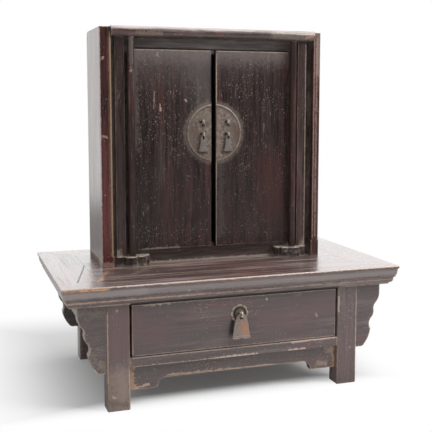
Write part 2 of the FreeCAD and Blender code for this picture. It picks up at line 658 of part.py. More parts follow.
def make_jambs():
    """A jamb beside each door: a raised fillet, a deep groove next to the side board, and a stop behind."""
    outer = JAMB_FILLET_OUTER
    inner = JAMB_INNER
    for side, name in SIDES:
        wall = side * SIDE_INNER[side]
        steps = [
            ((side * outer, JAMB_GROOVE_FLOOR),),
            ((side * outer, JAMB_FRONT + 1.0),),
            ((side * (outer - 0.3), JAMB_FRONT + 0.3), (side * (outer - 1.0), JAMB_FRONT)),
            ((side * (inner + 1.0), JAMB_FRONT),),
            ((side * (inner + 0.3), JAMB_FRONT + 0.3), (side * inner, JAMB_FRONT + 1.0)),
            ((side * inner, INNER_FRONT),),
            ((wall, INNER_FRONT),),
        ]
        jamb = plan_view((wall, JAMB_GROOVE_FLOOR), steps, TOP_Z, TOP_RAIL_LOW)
        x0, x1 = sorted((side * BLOCK_OUTER, side * BLOCK_INNER))
        jamb = jamb.cut(box(x0, x1, -60.0, 0.0, TOP_Z - 1, BLOCK_TOP))
        x0, x1 = sorted((wall, side * JAMB_STOP))
        stop = box(x0, x1, INNER_FRONT, JAMB_STOP_BACK, BASE_RAIL_TOP, LINTEL_BOTTOM)
        save(name + "_jamb", jamb.fuse(stop).removeSplitter())


def make_pivot_blocks():
    """Carved cloud-shaped blocks in front of the base rail, with a socket for each door post."""
    block = box(-BLOCK_OUTER, -BLOCK_INNER, LOBE_ROOT, INNER_FRONT, TOP_Z, BLOCK_TOP)
    for centre_x, centre_y, radius in BLOCK_LOBES:
        lobe = rod(centre_x, centre_y, TOP_Z, BLOCK_TOP, radius)
        lobe = chamfered(lobe, 1.2, lambda e: round_edge(e) and e.BoundBox.ZMin > BLOCK_TOP - 0.01)
        block = block.fuse(lobe)
    room = box(-BLOCK_OUTER, -BLOCK_INNER, -60.0, INNER_FRONT, TOP_Z, BLOCK_TOP)
    block = block.common(room).removeSplitter()
    block = block.cut(rod(-POST_X, POST_Y, BLOCK_TOP - PIVOT_LENGTH - 0.5, BLOCK_TOP + 1,
                          PIVOT_RADIUS + PIVOT_CLEARANCE))
    save("left_pivot_block", block)
    save("right_pivot_block", mirrored(block))


def make_doors():
    """Plank doors, each pegged to the back of a round post with a dowel at both ends."""
    post_low = BLOCK_TOP + END_GAP
    post_high = TOP_RAIL_LOW - END_GAP
    post = rod(-POST_X, POST_Y, post_low, post_high, POST_RADIUS)
    rib = box(-DOOR_HINGE_EDGE, -POST_X + POST_RADIUS - 0.4, POST_Y, DOOR_FACE, DOOR_BOTTOM, DOOR_TOP)
    dowel = rod(-POST_X, POST_Y, post_low - PIVOT_LENGTH, post_high + PIVOT_LENGTH, PIVOT_RADIUS)
    post = post.fuse([rib, dowel]).removeSplitter()
    save("left_door_post", post)
    save("right_door_post", mirrored(post))
    for side, name in SIDES:
        board = box(-DOOR_HINGE_EDGE, -SEAM[side], DOOR_FACE, DOOR_FACE + DOOR_THICKNESS, DOOR_BOTTOM,
                    DOOR_TOP)
        board = chamfered(board, 0.7, lambda e: e.BoundBox.YMax < DOOR_FACE + 0.1
                          and edge_middle(e).x > -100.0)
        door = board if side < 0 else mirrored(board)
        for z in (PIN_UPPER_Z, PIN_LOWER_Z):
            door = door.cut(pin_hole(PIN_X[side], z, DOOR_FACE, DOOR_THICKNESS, DOOR_PIN["hole"]))
        save(name + "_door_board", door)


def make_door_hardware():
    """Half of the round face plate on each door, its two split pins and the pull on the lower one."""
    face = DOOR_FACE - PLATE_THICKNESS
    back = DOOR_FACE + DOOR_THICKNESS
    disc = Part.makeCylinder(PLATE_RADIUS, PLATE_THICKNESS, V(PLATE_X, face, PLATE_Z), V(0, 1, 0))
    rim = Part.makeCylinder(PLATE_RADIUS, 0.5, V(PLATE_X, face - 0.5, PLATE_Z), V(0, 1, 0))
    inside = Part.makeCylinder(PLATE_RADIUS - PLATE_RIM, 0.5, V(PLATE_X, face - 0.5, PLATE_Z), V(0, 1, 0))
    disc = disc.fuse(rim.cut(inside))
    for side, name in SIDES:
        reach = sorted((side * (SEAM[side] + 0.3), side * 60.0))
        plate = disc.common(box(reach[0], reach[1], face - 5.0, DOOR_FACE, 300.0, 500.0))
        pins = []
        for z in (PIN_UPPER_Z, PIN_LOWER_Z):
            pins.append(split_pin(PIN_X[side], z, face, back, DOOR_PIN))
            plate = plate.cut(pin_hole(PIN_X[side], z, face, PLATE_THICKNESS, DOOR_PIN["hole"]))
        pull = pendant(PIN_X[side], face, PIN_LOWER_Z, DOOR_PIN, DOOR_PULL, door_pull_profile)
        save(name + "_face_plate", plate.removeSplitter())
        save(name + "_split_pins", Part.makeCompound(pins))
        save(name + "_door_pull", pull)


def main():
    os.makedirs("parts", exist_ok=True)
    make_stand_top()
    make_legs()
    make_stand_rails()
    make_stand_panels()
    make_apron()
    make_spandrels()
    make_runners()
    make_drawer()
    make_drawer_hardware()
    make_carcass()
    make_jambs()
    make_pivot_blocks()
    make_doors()
    make_door_hardware()


main()
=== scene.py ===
# %% [markdown]
# # An old altar cabinet, finished in Blender
# The cabinet is a shallow cupboard with two doors on a low stand with a drawer. Its solid parts are already
# packed as a fixed frame, in metres. This lesson gives them their finish: worn lacquer over softwood, bare
# edges, dust in the corners and old brass fittings. Only small things are modelled again here.

# %% The frame
import math
import bmesh
import bpy
from mathutils import Euler, Matrix, Vector


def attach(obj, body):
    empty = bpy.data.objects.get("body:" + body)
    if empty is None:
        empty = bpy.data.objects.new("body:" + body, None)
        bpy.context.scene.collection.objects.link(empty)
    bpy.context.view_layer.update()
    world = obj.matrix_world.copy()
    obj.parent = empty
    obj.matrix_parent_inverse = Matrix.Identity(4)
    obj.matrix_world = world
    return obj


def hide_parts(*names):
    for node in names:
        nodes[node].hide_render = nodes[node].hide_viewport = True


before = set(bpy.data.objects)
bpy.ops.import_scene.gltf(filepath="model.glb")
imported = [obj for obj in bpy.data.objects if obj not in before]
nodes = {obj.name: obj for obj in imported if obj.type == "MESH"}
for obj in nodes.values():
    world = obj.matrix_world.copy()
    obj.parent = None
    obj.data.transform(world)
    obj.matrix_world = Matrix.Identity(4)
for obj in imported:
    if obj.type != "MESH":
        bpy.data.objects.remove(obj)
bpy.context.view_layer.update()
scene = bpy.context.scene

# %% [markdown]
# ## The camera
# The photograph looks down a little on the cabinet, from the left of its middle. Its focal length, place and
# turn were worked out from edges whose real places are known, so the render can be laid over the picture.
# The lens axis meets the picture a little above its middle, which a small vertical shift gives.

# %% The camera
IMAGE_SIZE = 432.0
FOCAL_PIXELS = 793.9
CENTRE_ROW = 190.0
SENSOR_WIDTH = 36.0
CAMERA_PLACE = (-0.4133, -1.2511, 0.4497)
CAMERA_YAW = 0.326
CAMERA_PITCH = 0.107

camera_data = bpy.data.cameras.new("camera")
camera = bpy.data.objects.new("camera", camera_data)
scene.collection.objects.link(camera)
scene.camera = camera
camera_data.sensor_width = SENSOR_WIDTH
camera_data.lens = FOCAL_PIXELS / IMAGE_SIZE * SENSOR_WIDTH
camera_data.shift_y = (CENTRE_ROW - IMAGE_SIZE / 2) / IMAGE_SIZE
camera.location = CAMERA_PLACE
camera.rotation_euler = Euler((math.pi / 2 - CAMERA_PITCH, 0.0, -CAMERA_YAW), "XYZ")
scene.view_settings.view_transform = "Standard"
print(f"lens {camera_data.lens:.2f} mm, shift {camera_data.shift_y:.3f}")

# %% [markdown]
# ## Wiring nodes
# A material is a graph of nodes. This small class adds a node and fills its sockets in one call: a number or
# a colour is written on the socket, and another node's output is linked to it.

# %% A class that wires nodes
class Wiring:
    """Adds nodes to one node tree and fills their inputs with values or links."""

    def __init__(self, tree):
        self.tree = tree

    def put(self, value, socket):
        """A value goes on the socket itself, and an output is linked to it."""
        if isinstance(value, bpy.types.NodeSocket):
            self.tree.links.new(value, socket)
        elif socket.type == "RGBA" and len(value) == 3:
            socket.default_value = (*value, 1.0)
        else:
            socket.default_value = value

    def fill(self, node, inputs):
        """Each named or numbered input of a node gets its value or its link."""
        for name, value in inputs.items():
            self.put(value, node.inputs[name])

    def add(self, kind, inputs=None, **settings):
        """One node of this kind, with its settings and its filled inputs."""
        node = self.tree.nodes.new("ShaderNode" + kind)
        for key, value in settings.items():
            setattr(node, key, value)
        self.fill(node, inputs or {})
        return node

    def group(self, tree, inputs):
        """The outputs of a group node with its inputs filled."""
        return self.add("Group", inputs, node_tree=tree).outputs

    def math(self, operation, a, b=0.0, clamp=False):
        """A number worked out from one or two others."""
        return self.add("Math", {0: a, 1: b}, operation=operation, use_clamp=clamp).outputs[0]

    def times(self, a, b, clamp=False):
        return self.math("MULTIPLY", a, b, clamp)

    def plus(self, a, b, clamp=False):
        return self.math("ADD", a, b, clamp)

    def minus(self, a, b):
        return self.math("SUBTRACT", a, b)

    def larger(self, a, b):
        return self.math("MAXIMUM", a, b)

    def step(self, value, low, high, to_low=0.0, to_high=1.0):
        """A smooth step of value from low to high."""
        limits = {"Value": value, "From Min": low, "From Max": high, "To Min": to_low, "To Max": to_high}
        return self.add("MapRange", limits, interpolation_type="SMOOTHSTEP").outputs["Result"]

    def blend(self, data_type, first_input, output, factor, a, b):
        """A Mix node keeps a socket for each kind of data, so its sockets are taken by number."""
        inputs = {0: factor, first_input: a, first_input + 1: b}
        return self.add("Mix", inputs, data_type=data_type).outputs[output]

    def mix(self, factor, a, b):
        """Two colours mixed by a factor."""
        return self.blend("RGBA", 6, 2, factor, a, b)

    def lerp(self, factor, a, b):
        """Two numbers mixed by a factor."""
        return self.blend("FLOAT", 2, 0, factor, a, b)

    def vector(self, operation, a, b):
        """A vector worked out from two others. SCALE takes a number as the second."""
        second = "Scale" if operation == "SCALE" else 1
        return self.add("VectorMath", {0: a, second: b}, operation=operation).outputs[0]

    def measure(self, operation, a, b):
        """A number worked out from two vectors, such as the distance between them."""
        return self.add("VectorMath", {0: a, 1: b}, operation=operation).outputs["Value"]

    def stretched(self, vector, scale):
        """The vector, scaled by a different amount along each axis."""
        return self.vector("MULTIPLY", vector, scale)

    def parts(self, vector):
        """A vector's X, Y and Z."""
        return self.add("SeparateXYZ", {0: vector}).outputs

    def noise(self, vector, scale, detail=3.0, roughness=0.5):
        """Cloudy noise between 0 and 1."""
        inputs = {"Vector": vector, "Scale": scale, "Detail": detail, "Roughness": roughness}
        return self.add("TexNoise", inputs).outputs["Fac"]

    def sway(self, vector, scale, detail, roughness):
        """Cloudy noise between -0.5 and 0.5, which moves a border in and out."""
        return self.minus(self.noise(vector, scale, detail, roughness), 0.5)


# %% [markdown]
# A node group is built once, and every material that needs its effect holds a copy with its own values.

# %% Starting and finishing a node group
OUTPUT_KINDS = {"Normal": "Vector", "Color": "Color"}


def new_group(name, inputs, outputs):
    """An empty node group: its wiring, its inputs and the sockets that its outputs go to.

    An input's kind follows from its value: a number, a colour, or None for a vector.
    """
    tree = bpy.data.node_groups.new(name, "ShaderNodeTree")
    for label, value in inputs.items():
        kind = "Vector" if value is None else "Float" if isinstance(value, float) else "Color"
        socket = tree.interface.new_socket(label, in_out="INPUT", socket_type="NodeSocket" + kind)
        if value is not None:
            socket.default_value = value if kind == "Float" else (*value, 1.0)
    for label in outputs:
        kind = OUTPUT_KINDS.get(label, "Float")
        tree.interface.new_socket(label, in_out="OUTPUT", socket_type="NodeSocket" + kind)
    return Wiring(tree), tree.nodes.new("NodeGroupInput").outputs, tree.nodes.new("NodeGroupOutput").inputs


def finished(tree):
    """Say how large a group has become, and hand it back."""
    print(f"{tree.name} group: {len(tree.nodes)} nodes")
    return tree


# %% [markdown]
# ## Grain
# The grain of the softwood shows through the lacquer as bands, as thin lines and as dark pores. Noise that
# is squeezed along one axis gives them. The group's vector runs along the grain in Z, so each material turns
# it with its Mapping node. A slow second noise bends the lines a little.

# %% The grain group
# Each kind of streak: how fine per metre, its squeeze along the grain, and the noise's detail and roughness.
BANDS = (75.0, 0.06, 3.0, 0.6)
LINES = (290.0, 0.03, 3.0, 0.65)
PORES = (620.0, 0.05, 1.0, 0.5)
BEND_SCALE = 9.0
PORE_DEPTH = 0.6


def make_grain_group():
    w, given, out = new_group("Grain", {"Vector": None, "Scale": 1.0, "Wave": 0.006},
                              ("Bands", "Lines", "Pores", "Height"))
    slow = w.stretched(given["Vector"], (1.0, 1.0, 0.45))
    drift = w.add("TexNoise", {"Vector": slow, "Scale": BEND_SCALE, "Detail": 1.0}).outputs["Color"]
    centred = w.vector("SUBTRACT", drift, (0.5, 0.5, 0.5))
    bent = w.vector("ADD", given["Vector"], w.vector("SCALE", centred, given["Wave"]))

    def streaks(fineness, squeeze, detail, roughness):
        """Noise drawn out along the grain."""
        scale = w.times(given["Scale"], fineness)
        return w.noise(w.stretched(bent, (1.0, 1.0, squeeze)), scale, detail, roughness)

    bands, lines, pores = streaks(*BANDS), streaks(*LINES), streaks(*PORES)
    w.put(w.step(bands, 0.34, 0.66), out["Bands"])
    w.put(w.step(lines, 0.34, 0.66), out["Lines"])
    w.put(w.step(pores, 0.54, 0.66), out["Pores"])
    w.put(w.minus(lines, w.times(pores, PORE_DEPTH)), out["Height"])
    return finished(w.tree)


grain_group = make_grain_group()

# %% [markdown]
# ## Worn edges
# Hands and cloths rub lacquer off the edges first. The Bevel node gives the normal that a rounded edge
# would have, and where it turns away from the real normal there is an edge. Noise breaks the bare line up.
# A second, narrow Bevel node softens every sharp edge, as use has done.

# %% The edge wear group
EDGE_GAIN = 11.0
NARROW_SHARE = 0.3
RAGGED_REACH = 2.2


def make_edge_group():
    w, given, out = new_group("Edge wear", {"Vector": None, "Radius": 0.0035, "Amount": 0.5},
                              ("Bare", "Thin", "Normal"))
    wide = w.add("Bevel", {"Radius": given["Radius"]}, samples=8).outputs[0]
    narrow = w.add("Bevel", {"Radius": w.times(given["Radius"], NARROW_SHARE)}, samples=6).outputs[0]
    facing = w.measure("DOT_PRODUCT", wide, w.add("NewGeometry").outputs["Normal"])
    turn = w.times(w.minus(1.0, facing), EDGE_GAIN, clamp=True)
    ragged = w.sway(given["Vector"], 70.0, 5.0, 0.7)
    near = w.step(turn, 0.04, 0.25)
    limit = w.minus(1.15, given["Amount"])
    reach = w.plus(turn, w.times(ragged, RAGGED_REACH))
    w.put(w.times(near, w.step(reach, limit, w.plus(limit, 0.3))), out["Bare"])
    w.put(w.times(near, w.step(w.plus(turn, ragged), 0.1, 0.8)), out["Thin"])
    w.put(narrow, out["Normal"])
    return finished(w.tree)


edge_group = make_edge_group()

# %% [markdown]
# ## Chips, specks and scratches
# Long use left small pale marks. A Voronoi pattern on a stirred vector gives ragged chips, and only the few
# cells with a low random value keep one. Specks are the peaks of a fine noise. Scratches and fine cracks are
# the thin contour lines of a stretched noise, so they run with the grain.

# %% The marks group
CHIP_CELLS = 75.0
CHIP_STIR = 0.006
SPECK_SCALE = 520.0
SCRATCH_SCALE = 65.0


def make_marks_group():
    w, given, out = new_group("Marks", {"Vector": None, "Amount": 0.3}, ("Chips", "Scratches"))
    vector, amount = given["Vector"], given["Amount"]
    stir = w.add("TexNoise", {"Vector": vector, "Scale": 260.0, "Detail": 3.0}).outputs["Color"]
    stirred = w.vector("ADD", w.stretched(vector, (1.0, 1.0, 0.8)), w.vector("SCALE", stir, CHIP_STIR))
    cells = w.add("TexVoronoi", {"Vector": stirred, "Scale": CHIP_CELLS}, feature="F1").outputs
    chosen = w.add("SeparateColor", {0: cells["Color"]}).outputs
    keep = w.math("GREATER_THAN", w.times(amount, 0.3), chosen[0])
    size = w.plus(0.04, w.times(w.math("POWER", chosen[1], 4.0), 0.13))
    chips = w.times(keep, w.step(w.math("DIVIDE", cells["Distance"], size), 0.7, 1.0, 1.0, 0.0))
    crowd = w.noise(vector, 17.0, 3.0, 0.6)
    specks = w.noise(w.stretched(vector, (1.0, 1.0, 0.6)), SPECK_SCALE, 3.0, 0.6)
    limit = w.minus(w.minus(0.86, w.times(crowd, 0.3)), w.times(amount, 0.1))
    specks = w.step(specks, limit, w.plus(limit, 0.05))
    w.put(w.larger(chips, w.times(specks, 0.8)), out["Chips"])
    long = w.noise(w.stretched(vector, (1.0, 1.0, 0.07)), SCRATCH_SCALE, 2.0, 0.5)
    contour = w.math("ABSOLUTE", w.minus(long, 0.5))
    broken = w.step(w.noise(vector, 38.0, 3.0, 0.6), 0.5, 0.62)
    w.put(w.times(w.step(contour, 0.002, 0.008, 1.0, 0.0), broken), out["Scratches"])
    return finished(w.tree)


marks_group = make_marks_group()

# %% [markdown]
# ## Dust
# Pale dust and old wax stay where a cloth can't reach. Ambient Occlusion tells how closed in a point is, and
# noise leaves some corners clean.

# %% The dust group
def make_dust_group():
    w, given, out = new_group("Dust", {"Vector": None, "Reach": 0.012, "Amount": 0.4}, ("Mask", "Depth"))
    open_air = w.add("AmbientOcclusion", {"Distance": given["Reach"]}, samples=8).outputs["AO"]
    closed = w.minus(1.0, open_air)
    ragged = w.plus(closed, w.times(w.sway(given["Vector"], 60.0, 4.0, 0.65), 1.2))
    w.put(w.times(w.step(ragged, 0.3, 0.8), given["Amount"]), out["Mask"])
    w.put(closed, out["Depth"])
    return finished(w.tree)


dust_group = make_dust_group()

# %% [markdown]
# ## A smear
# Some marks sit at one known place: a worn streak, a stain, a line of dirt. This group gives a soft band
# along the line from one point to another. Two dot products find the nearest point of the line, and noise
# makes the border ragged.

# %% The smear group
SMEAR_RAGGEDNESS = 3.6


def make_smear_group():
    w, given, out = new_group(
        "Smear", {"Vector": None, "From": None, "To": None, "Width": 0.003, "Ragged": 0.6, "Core": 0.45},
        ("Mask",))
    span = w.vector("SUBTRACT", given["To"], given["From"])
    arm = w.vector("SUBTRACT", given["Vector"], given["From"])
    along = w.measure("DOT_PRODUCT", arm, span)
    part = w.math("DIVIDE", along, w.measure("DOT_PRODUCT", span, span), clamp=True)
    distance = w.measure("DISTANCE", arm, w.vector("SCALE", span, part))
    ragged = w.sway(given["Vector"], 230.0, 5.0, 0.75)
    ragged = w.times(w.times(ragged, SMEAR_RAGGEDNESS), given["Ragged"])
    share = w.plus(w.math("DIVIDE", distance, given["Width"]), ragged)
    w.put(w.step(share, given["Core"], 1.0, 1.0, 0.0), out["Mask"])
    return finished(w.tree)


smear_group = make_smear_group()

# %% [markdown]
# ## Lacquer
# The lacquer is nearly black where it is whole, oxblood where it has worn thin, and grey where its surface
# has gone dull. Grain, edges, marks and dust are laid over that in the order in which they happened. Every
# board has this group with its own colours and amounts.

# %% The lacquer group
NEAR_BLACK = (0.024, 0.015, 0.013)
OXBLOOD = (0.080, 0.020, 0.016)
DULL_GREY = (0.085, 0.073, 0.064)
BARE_WOOD = (0.38, 0.26, 0.185)
PALE_DUST = (0.33, 0.28, 0.23)


def make_lacquer_group():
    w, given, out = new_group(
        "Lacquer",
        {"Vector": None, "Ground": NEAR_BLACK, "Red": OXBLOOD, "Dull": DULL_GREY, "Bare": BARE_WOOD,
         "Redness": 0.4, "Dullness": 0.4, "Grain": 0.6, "Grain scale": 1.0, "Edge radius": 0.0035,
         "Edge wear": 0.5, "Marks": 0.3, "Dust": 0.4, "Gloss": 0.34},
        ("Color", "Roughness", "Height", "Normal"))
    vector = given["Vector"]
    radius, wear = given["Edge radius"], given["Edge wear"]
    grain = w.group(grain_group, {"Vector": vector, "Scale": given["Grain scale"]})
    edges = w.group(edge_group, {"Vector": vector, "Radius": radius, "Amount": wear})
    marks = w.group(marks_group, {"Vector": vector, "Amount": given["Marks"]})
    dust = w.group(dust_group, {"Vector": vector, "Amount": given["Dust"]})

    def patches(squeeze, scale, amount, softness):
        """Areas with soft grain-wise edges. More of the board is covered as the amount rises."""
        cloud = w.noise(w.stretched(vector, (1.0, 1.0, squeeze)), scale, 4.0, 0.62)
        cloud = w.plus(cloud, w.times(w.minus(grain["Bands"], 0.5), 0.16))
        low = w.minus(0.85, w.times(amount, 0.7))
        return w.step(cloud, low, w.plus(low, softness))

    # The three states of the lacquer.
    colour = w.mix(patches(0.3, 15.0, given["Redness"], 0.16), given["Ground"], given["Red"])
    dull = w.times(patches(0.16, 44.0, given["Dullness"], 0.2), w.plus(0.35, w.times(grain["Lines"], 0.65)))
    colour = w.mix(dull, colour, given["Dull"])
    # Grain makes them lighter and darker.
    light = w.plus(w.times(w.minus(grain["Lines"], 0.5), 0.9), w.times(w.minus(grain["Bands"], 0.5), 0.6))
    light = w.minus(light, w.times(grain["Pores"], 0.7))
    light = w.larger(w.plus(1.0, w.times(light, given["Grain"])), 0.2)
    colour = w.vector("SCALE", colour, light)
    # Edges wear thin, then bare, but not in a closed corner, where no hand comes.
    open_edge = w.step(dust["Depth"], 0.22, 0.42, 1.0, 0.0)
    edge_bare = w.times(edges["Bare"], open_edge)
    edge_thin = w.times(w.times(edges["Thin"], open_edge), 0.4)
    colour = w.mix(edge_thin, colour, w.mix(0.45, given["Red"], given["Bare"]))
    bare = w.vector("SCALE", given["Bare"], w.plus(0.55, w.times(grain["Lines"], 0.6)))
    colour = w.mix(edge_bare, colour, bare)
    # Chips and scratches come next, and dust lies over everything.
    hurt = w.larger(w.times(marks["Chips"], 0.7), w.times(marks["Scratches"], 0.22))
    colour = w.mix(hurt, colour, w.mix(0.5, given["Bare"], PALE_DUST))
    w.put(w.mix(dust["Mask"], colour, PALE_DUST), out["Color"])
    # What is worn is rougher and lies deeper.
    worn = w.larger(w.larger(edge_bare, hurt), dust["Mask"])
    rough = w.plus(given["Gloss"], w.times(dull, 0.16))
    rough = w.plus(rough, w.times(worn, 0.28))
    rough = w.plus(rough, w.times(w.minus(grain["Lines"], 0.5), 0.1), clamp=True)
    w.put(rough, out["Roughness"])
    height = w.minus(grain["Height"], w.times(hurt, 1.4))
    w.put(w.minus(height, w.times(edge_bare, 0.6)), out["Height"])
    w.put(edges["Normal"], out["Normal"])
    return finished(w.tree)


lacquer_group = make_lacquer_group()

# %% [markdown]
# ## Smears at known places
# A smear is written in millimetres, like the drawing: both ends, how wide, how ragged, what colour and how
# strong. Most of them lie on a face that looks forwards or on a level face, and two helpers add the
# coordinate that they share.

# %% Smears
MM = 0.001
BROAD = 20
FINE = 2.5


def on_front(y, *smears):
    """Smears on a face that looks forwards: x and z of one end, x and z of the other, and the rest."""
    return [((x0, y, z0), (x1, y, z1), *rest) for x0, z0, x1, z1, *rest in smears]


def on_level(z, *smears):
    """Smears on a level face: x and y of one end, x and y of the other, and the rest."""
    return [((x0, y0, z), (x1, y1, z), *rest) for x0, y0, x1, y1, *rest in smears]


def smear_mask(w, here, start, end, width, ragged=0.6):
    """A soft band between two points that are given in millimetres. A broad one fades from its middle."""
    return w.group(smear_group, {"Vector": here, "From": Vector(start) * MM, "To": Vector(end) * MM,
                                 "Width": width * MM, "Ragged": ragged,
                                 "Core": 0.45 if width < BROAD else 0.0})["Mask"]


def smear_over(w, here, colour, smear):
    """One smear over a colour: its mask and the new colour."""
    start, end, width, ragged, shade, strength = smear
    mask = w.times(smear_mask(w, here, start, end, width, ragged), strength)
    return mask, w.mix(mask, colour, shade)


# %% [markdown]
# ## A material for each board
# The boards run in three directions, and no two show the same piece of wood. The Mapping node turns the
# pattern along the board and moves it to a place of its own. The shader has a coat, because old lacquer is
# a clear skin over the colour. The smears come last. Only cracks and smears of a middling width change the
# roughness and the relief too, because a material has room for a limited number of live values.

# %% A function for lacquered boards
ALONG = {"x": (0.0, math.pi / 2, 0.0), "y": (math.pi / 2, 0.0, 0.0), "z": (0.0, 0.0, 0.0)}
BUMP_DEPTH = 0.00025
BUMP_STRENGTH = 0.5
COAT_ROUGHNESS = 0.28
LACQUER_IOR = 1.5
CRACK = (0.02, 0.014, 0.012)


def start_material(name):
    """A node material: its wiring, its shader and the piece's own coordinates."""
    material = bpy.data.materials.new(name)
    material.use_nodes = True
    w = Wiring(material.node_tree)
    shader = material.node_tree.nodes["Principled BSDF"]
    return material, w, shader, w.add("TexCoord").outputs["Object"]


def finish(material, parts):
    """The CAD parts that one string names get the material."""
    for name in parts.split():
        nodes[name].data.materials.clear()
        nodes[name].data.materials.append(material)
    print(f"{material.name}: {parts}")


def lacquered(name, along, own_place, parts, smears=(), extra=None, coat=0.35, shine=0.5, **amounts):
    """Lacquer for boards whose grain runs along one axis, with their smears. extra may paint over them."""
    material, w, shader, here = start_material(name)
    mapping = w.add("Mapping", {"Vector": here, "Location": own_place, "Rotation": ALONG[along]})
    amounts = {label.replace("_", " "): value for label, value in amounts.items()}
    made = w.group(lacquer_group, {"Vector": mapping.outputs[0], **amounts})
    colour, rough, height = made["Color"], made["Roughness"], made["Height"]
    for smear in smears:
        mask, colour = smear_over(w, here, colour, smear)
        width, shade = smear[2], smear[4]
        if shade == CRACK or FINE < width < BROAD:
            rough = w.lerp(mask, rough, 1.0 if shade == CRACK else 0.6)
            height = w.minus(height, w.times(mask, 2.5 if shade == CRACK else 0.8))
    if extra:
        colour, rough = extra(w, here, colour, rough)
    bump = w.add("Bump", {"Height": height, "Strength": BUMP_STRENGTH, "Distance": BUMP_DEPTH,
                          "Normal": made["Normal"]})
    w.fill(shader, {"Base Color": colour, "Roughness": rough, "Normal": bump.outputs[0], "IOR": LACQUER_IOR,
                    "Specular IOR Level": shine, "Coat Weight": coat, "Coat Roughness": COAT_ROUGHNESS})
    finish(material, parts)


# %% [markdown]
# ## What is special about the doors
# The doors are the darkest boards: near black with a purple cast and fine upright lines, with a grey sheen
# painted near the top. The round plate has rubbed and dirtied the wood around it, and the two edges at the
# seam are painted black as shade. Pale specks crowd together in four places.

# %% Halo, specks and seam
PLATE_CENTRE = Vector((1.4, -15.0, 404.2))
PLATE_RADIUS = 46.5
SEAM_MIDDLE = 0.35
# Black painted shade, for seams and gaps that lie in shadow.
PAINTED_BLACK_SHADE = (0.012, 0.008, 0.007)
HALO = (0.17, 0.135, 0.11)
# Pale chips and specks. Along the doors' outer edges the same colour is also a painted highlight.
PALE_CHIP_AND_GLINT = (0.36, 0.30, 0.24)
CLUSTER_WIDTH = 22.0
SPECK_CLUSTERS = on_front(-15, (62, 374, 55, 338), (-114, 362, -111, 330), (-125, 240, -15, 246),
                          (15, 244, 90, 238))


def from_front(w, here, centre):
    """How far a point is from a centre given in millimetres, seen from the front, in metres."""
    flat = w.stretched(here, (1.0, 0.0, 1.0))
    return w.measure("DISTANCE", flat, (centre[0] * MM, 0.0, centre[2] * MM))


def door_extra(w, here, colour, rough):
    """The dirty halo around the plate, the crowded specks, and black painted shade on the seam's edges."""
    away = w.plus(from_front(w, here, PLATE_CENTRE), w.times(w.sway(here, 130.0, 4.0, 0.6), 0.012))
    at = w.parts(here)
    halo = w.step(away, (PLATE_RADIUS - 1.0) * MM, (PLATE_RADIUS + 9.5) * MM, 0.6, 0.0)
    front_face = w.step(at["Y"], -14.6 * MM, -13.6 * MM, 1.0, 0.0)
    colour = w.mix(w.times(halo, front_face), colour, HALO)
    specks = w.step(w.noise(w.stretched(here, (1.0, 1.0, 0.6)), 480.0, 4.0, 0.7), 0.60, 0.68, 0.0, 0.65)
    for start, end in SPECK_CLUSTERS:
        crowd = smear_mask(w, here, start, end, CLUSTER_WIDTH)
        colour = w.mix(w.times(crowd, specks), colour, PALE_CHIP_AND_GLINT)
    # The two edges at the seam are painted black as shade.
    from_seam = w.math("ABSOLUTE", w.minus(at["X"], SEAM_MIDDLE * MM))
    return w.mix(w.step(from_seam, 3.8 * MM, 4.4 * MM, 0.9, 0.0), colour, PAINTED_BLACK_SHADE), rough


# %% [markdown]
# ## The doors
# Both doors have the same lacquer, each with its own wear. Grey and pale bands of painted sheen near the top
# are the lightest, thin lines of chips run down the edges, the outer ones with a painted highlight, a redder
# patch shows on the right door, and painted shade darkens the lower half of each door.

# %% Doors
DOOR = {"Ground": (0.028, 0.017, 0.016), "Red": (0.044, 0.019, 0.018), "Dull": (0.047, 0.036, 0.033),
        "Redness": 0.5, "Dullness": 0.4, "Grain": 0.8, "Grain_scale": 1.5, "Marks": 0.8, "Dust": 0.2,
        "Edge_wear": 0.4, "coat": 0.12, "shine": 0.25}
# Painted sheen: the doors and door posts are made lighter near the top.
PAINTED_GREY_SHEEN = (0.100, 0.086, 0.080)
PAINTED_PALE_SHEEN = (0.19, 0.155, 0.148)
# Painted shade that darkens the lower half of each door.
PAINTED_LOWER_SHADE = (0.020, 0.0125, 0.0115)
LEFT_DOOR_WEAR = on_front(
    -15,
    (-130, 545, -12, 545, 95, 0.2, PAINTED_GREY_SHEEN, 0.6),
    (-30, 520, -10, 455, 42, 0.3, PAINTED_GREY_SHEEN, 0.5),
    # A black line of painted shade beside the seam.
    (-4.2, 530, -4.2, 225, 1.5, 0.9, PAINTED_BLACK_SHADE, 0.8),
    (-132, 535, -134, 380, 10, 1.0, PAINTED_GREY_SHEEN, 0.5),
    # Along the outer edge: worn wood with a painted highlight.
    (-137.5, 530, -137, 225, 2.0, 1.0, PALE_CHIP_AND_GLINT, 0.45),
    (-120, 217.5, -60, 217.5, 2.5, 1.2, PALE_CHIP_AND_GLINT, 0.5),
    (-93.5, 532, -93, 528, 2.6, 1.3, PALE_CHIP_AND_GLINT, 0.7),
    (-89.5, 450, -89, 440, 1.9, 1.2, PALE_CHIP_AND_GLINT, 0.75),
    (-99, 470, -100, 444, 1.3, 1.8, PALE_CHIP_AND_GLINT, 0.4),
    (-47, 457, -46, 456, 2.2, 1.4, PALE_CHIP_AND_GLINT, 0.7),
    (-134, 540, -10, 540, 36.0, 0.3, PAINTED_PALE_SHEEN, 0.6),
    (-136, 536.6, -6, 536.6, 1.6, 0.8, PALE_CHIP_AND_GLINT, 0.6),
    # Painted shade over the lower half of the door.
    (-120, 280, -20, 270, 110.0, 0.2, PAINTED_LOWER_SHADE, 0.35))
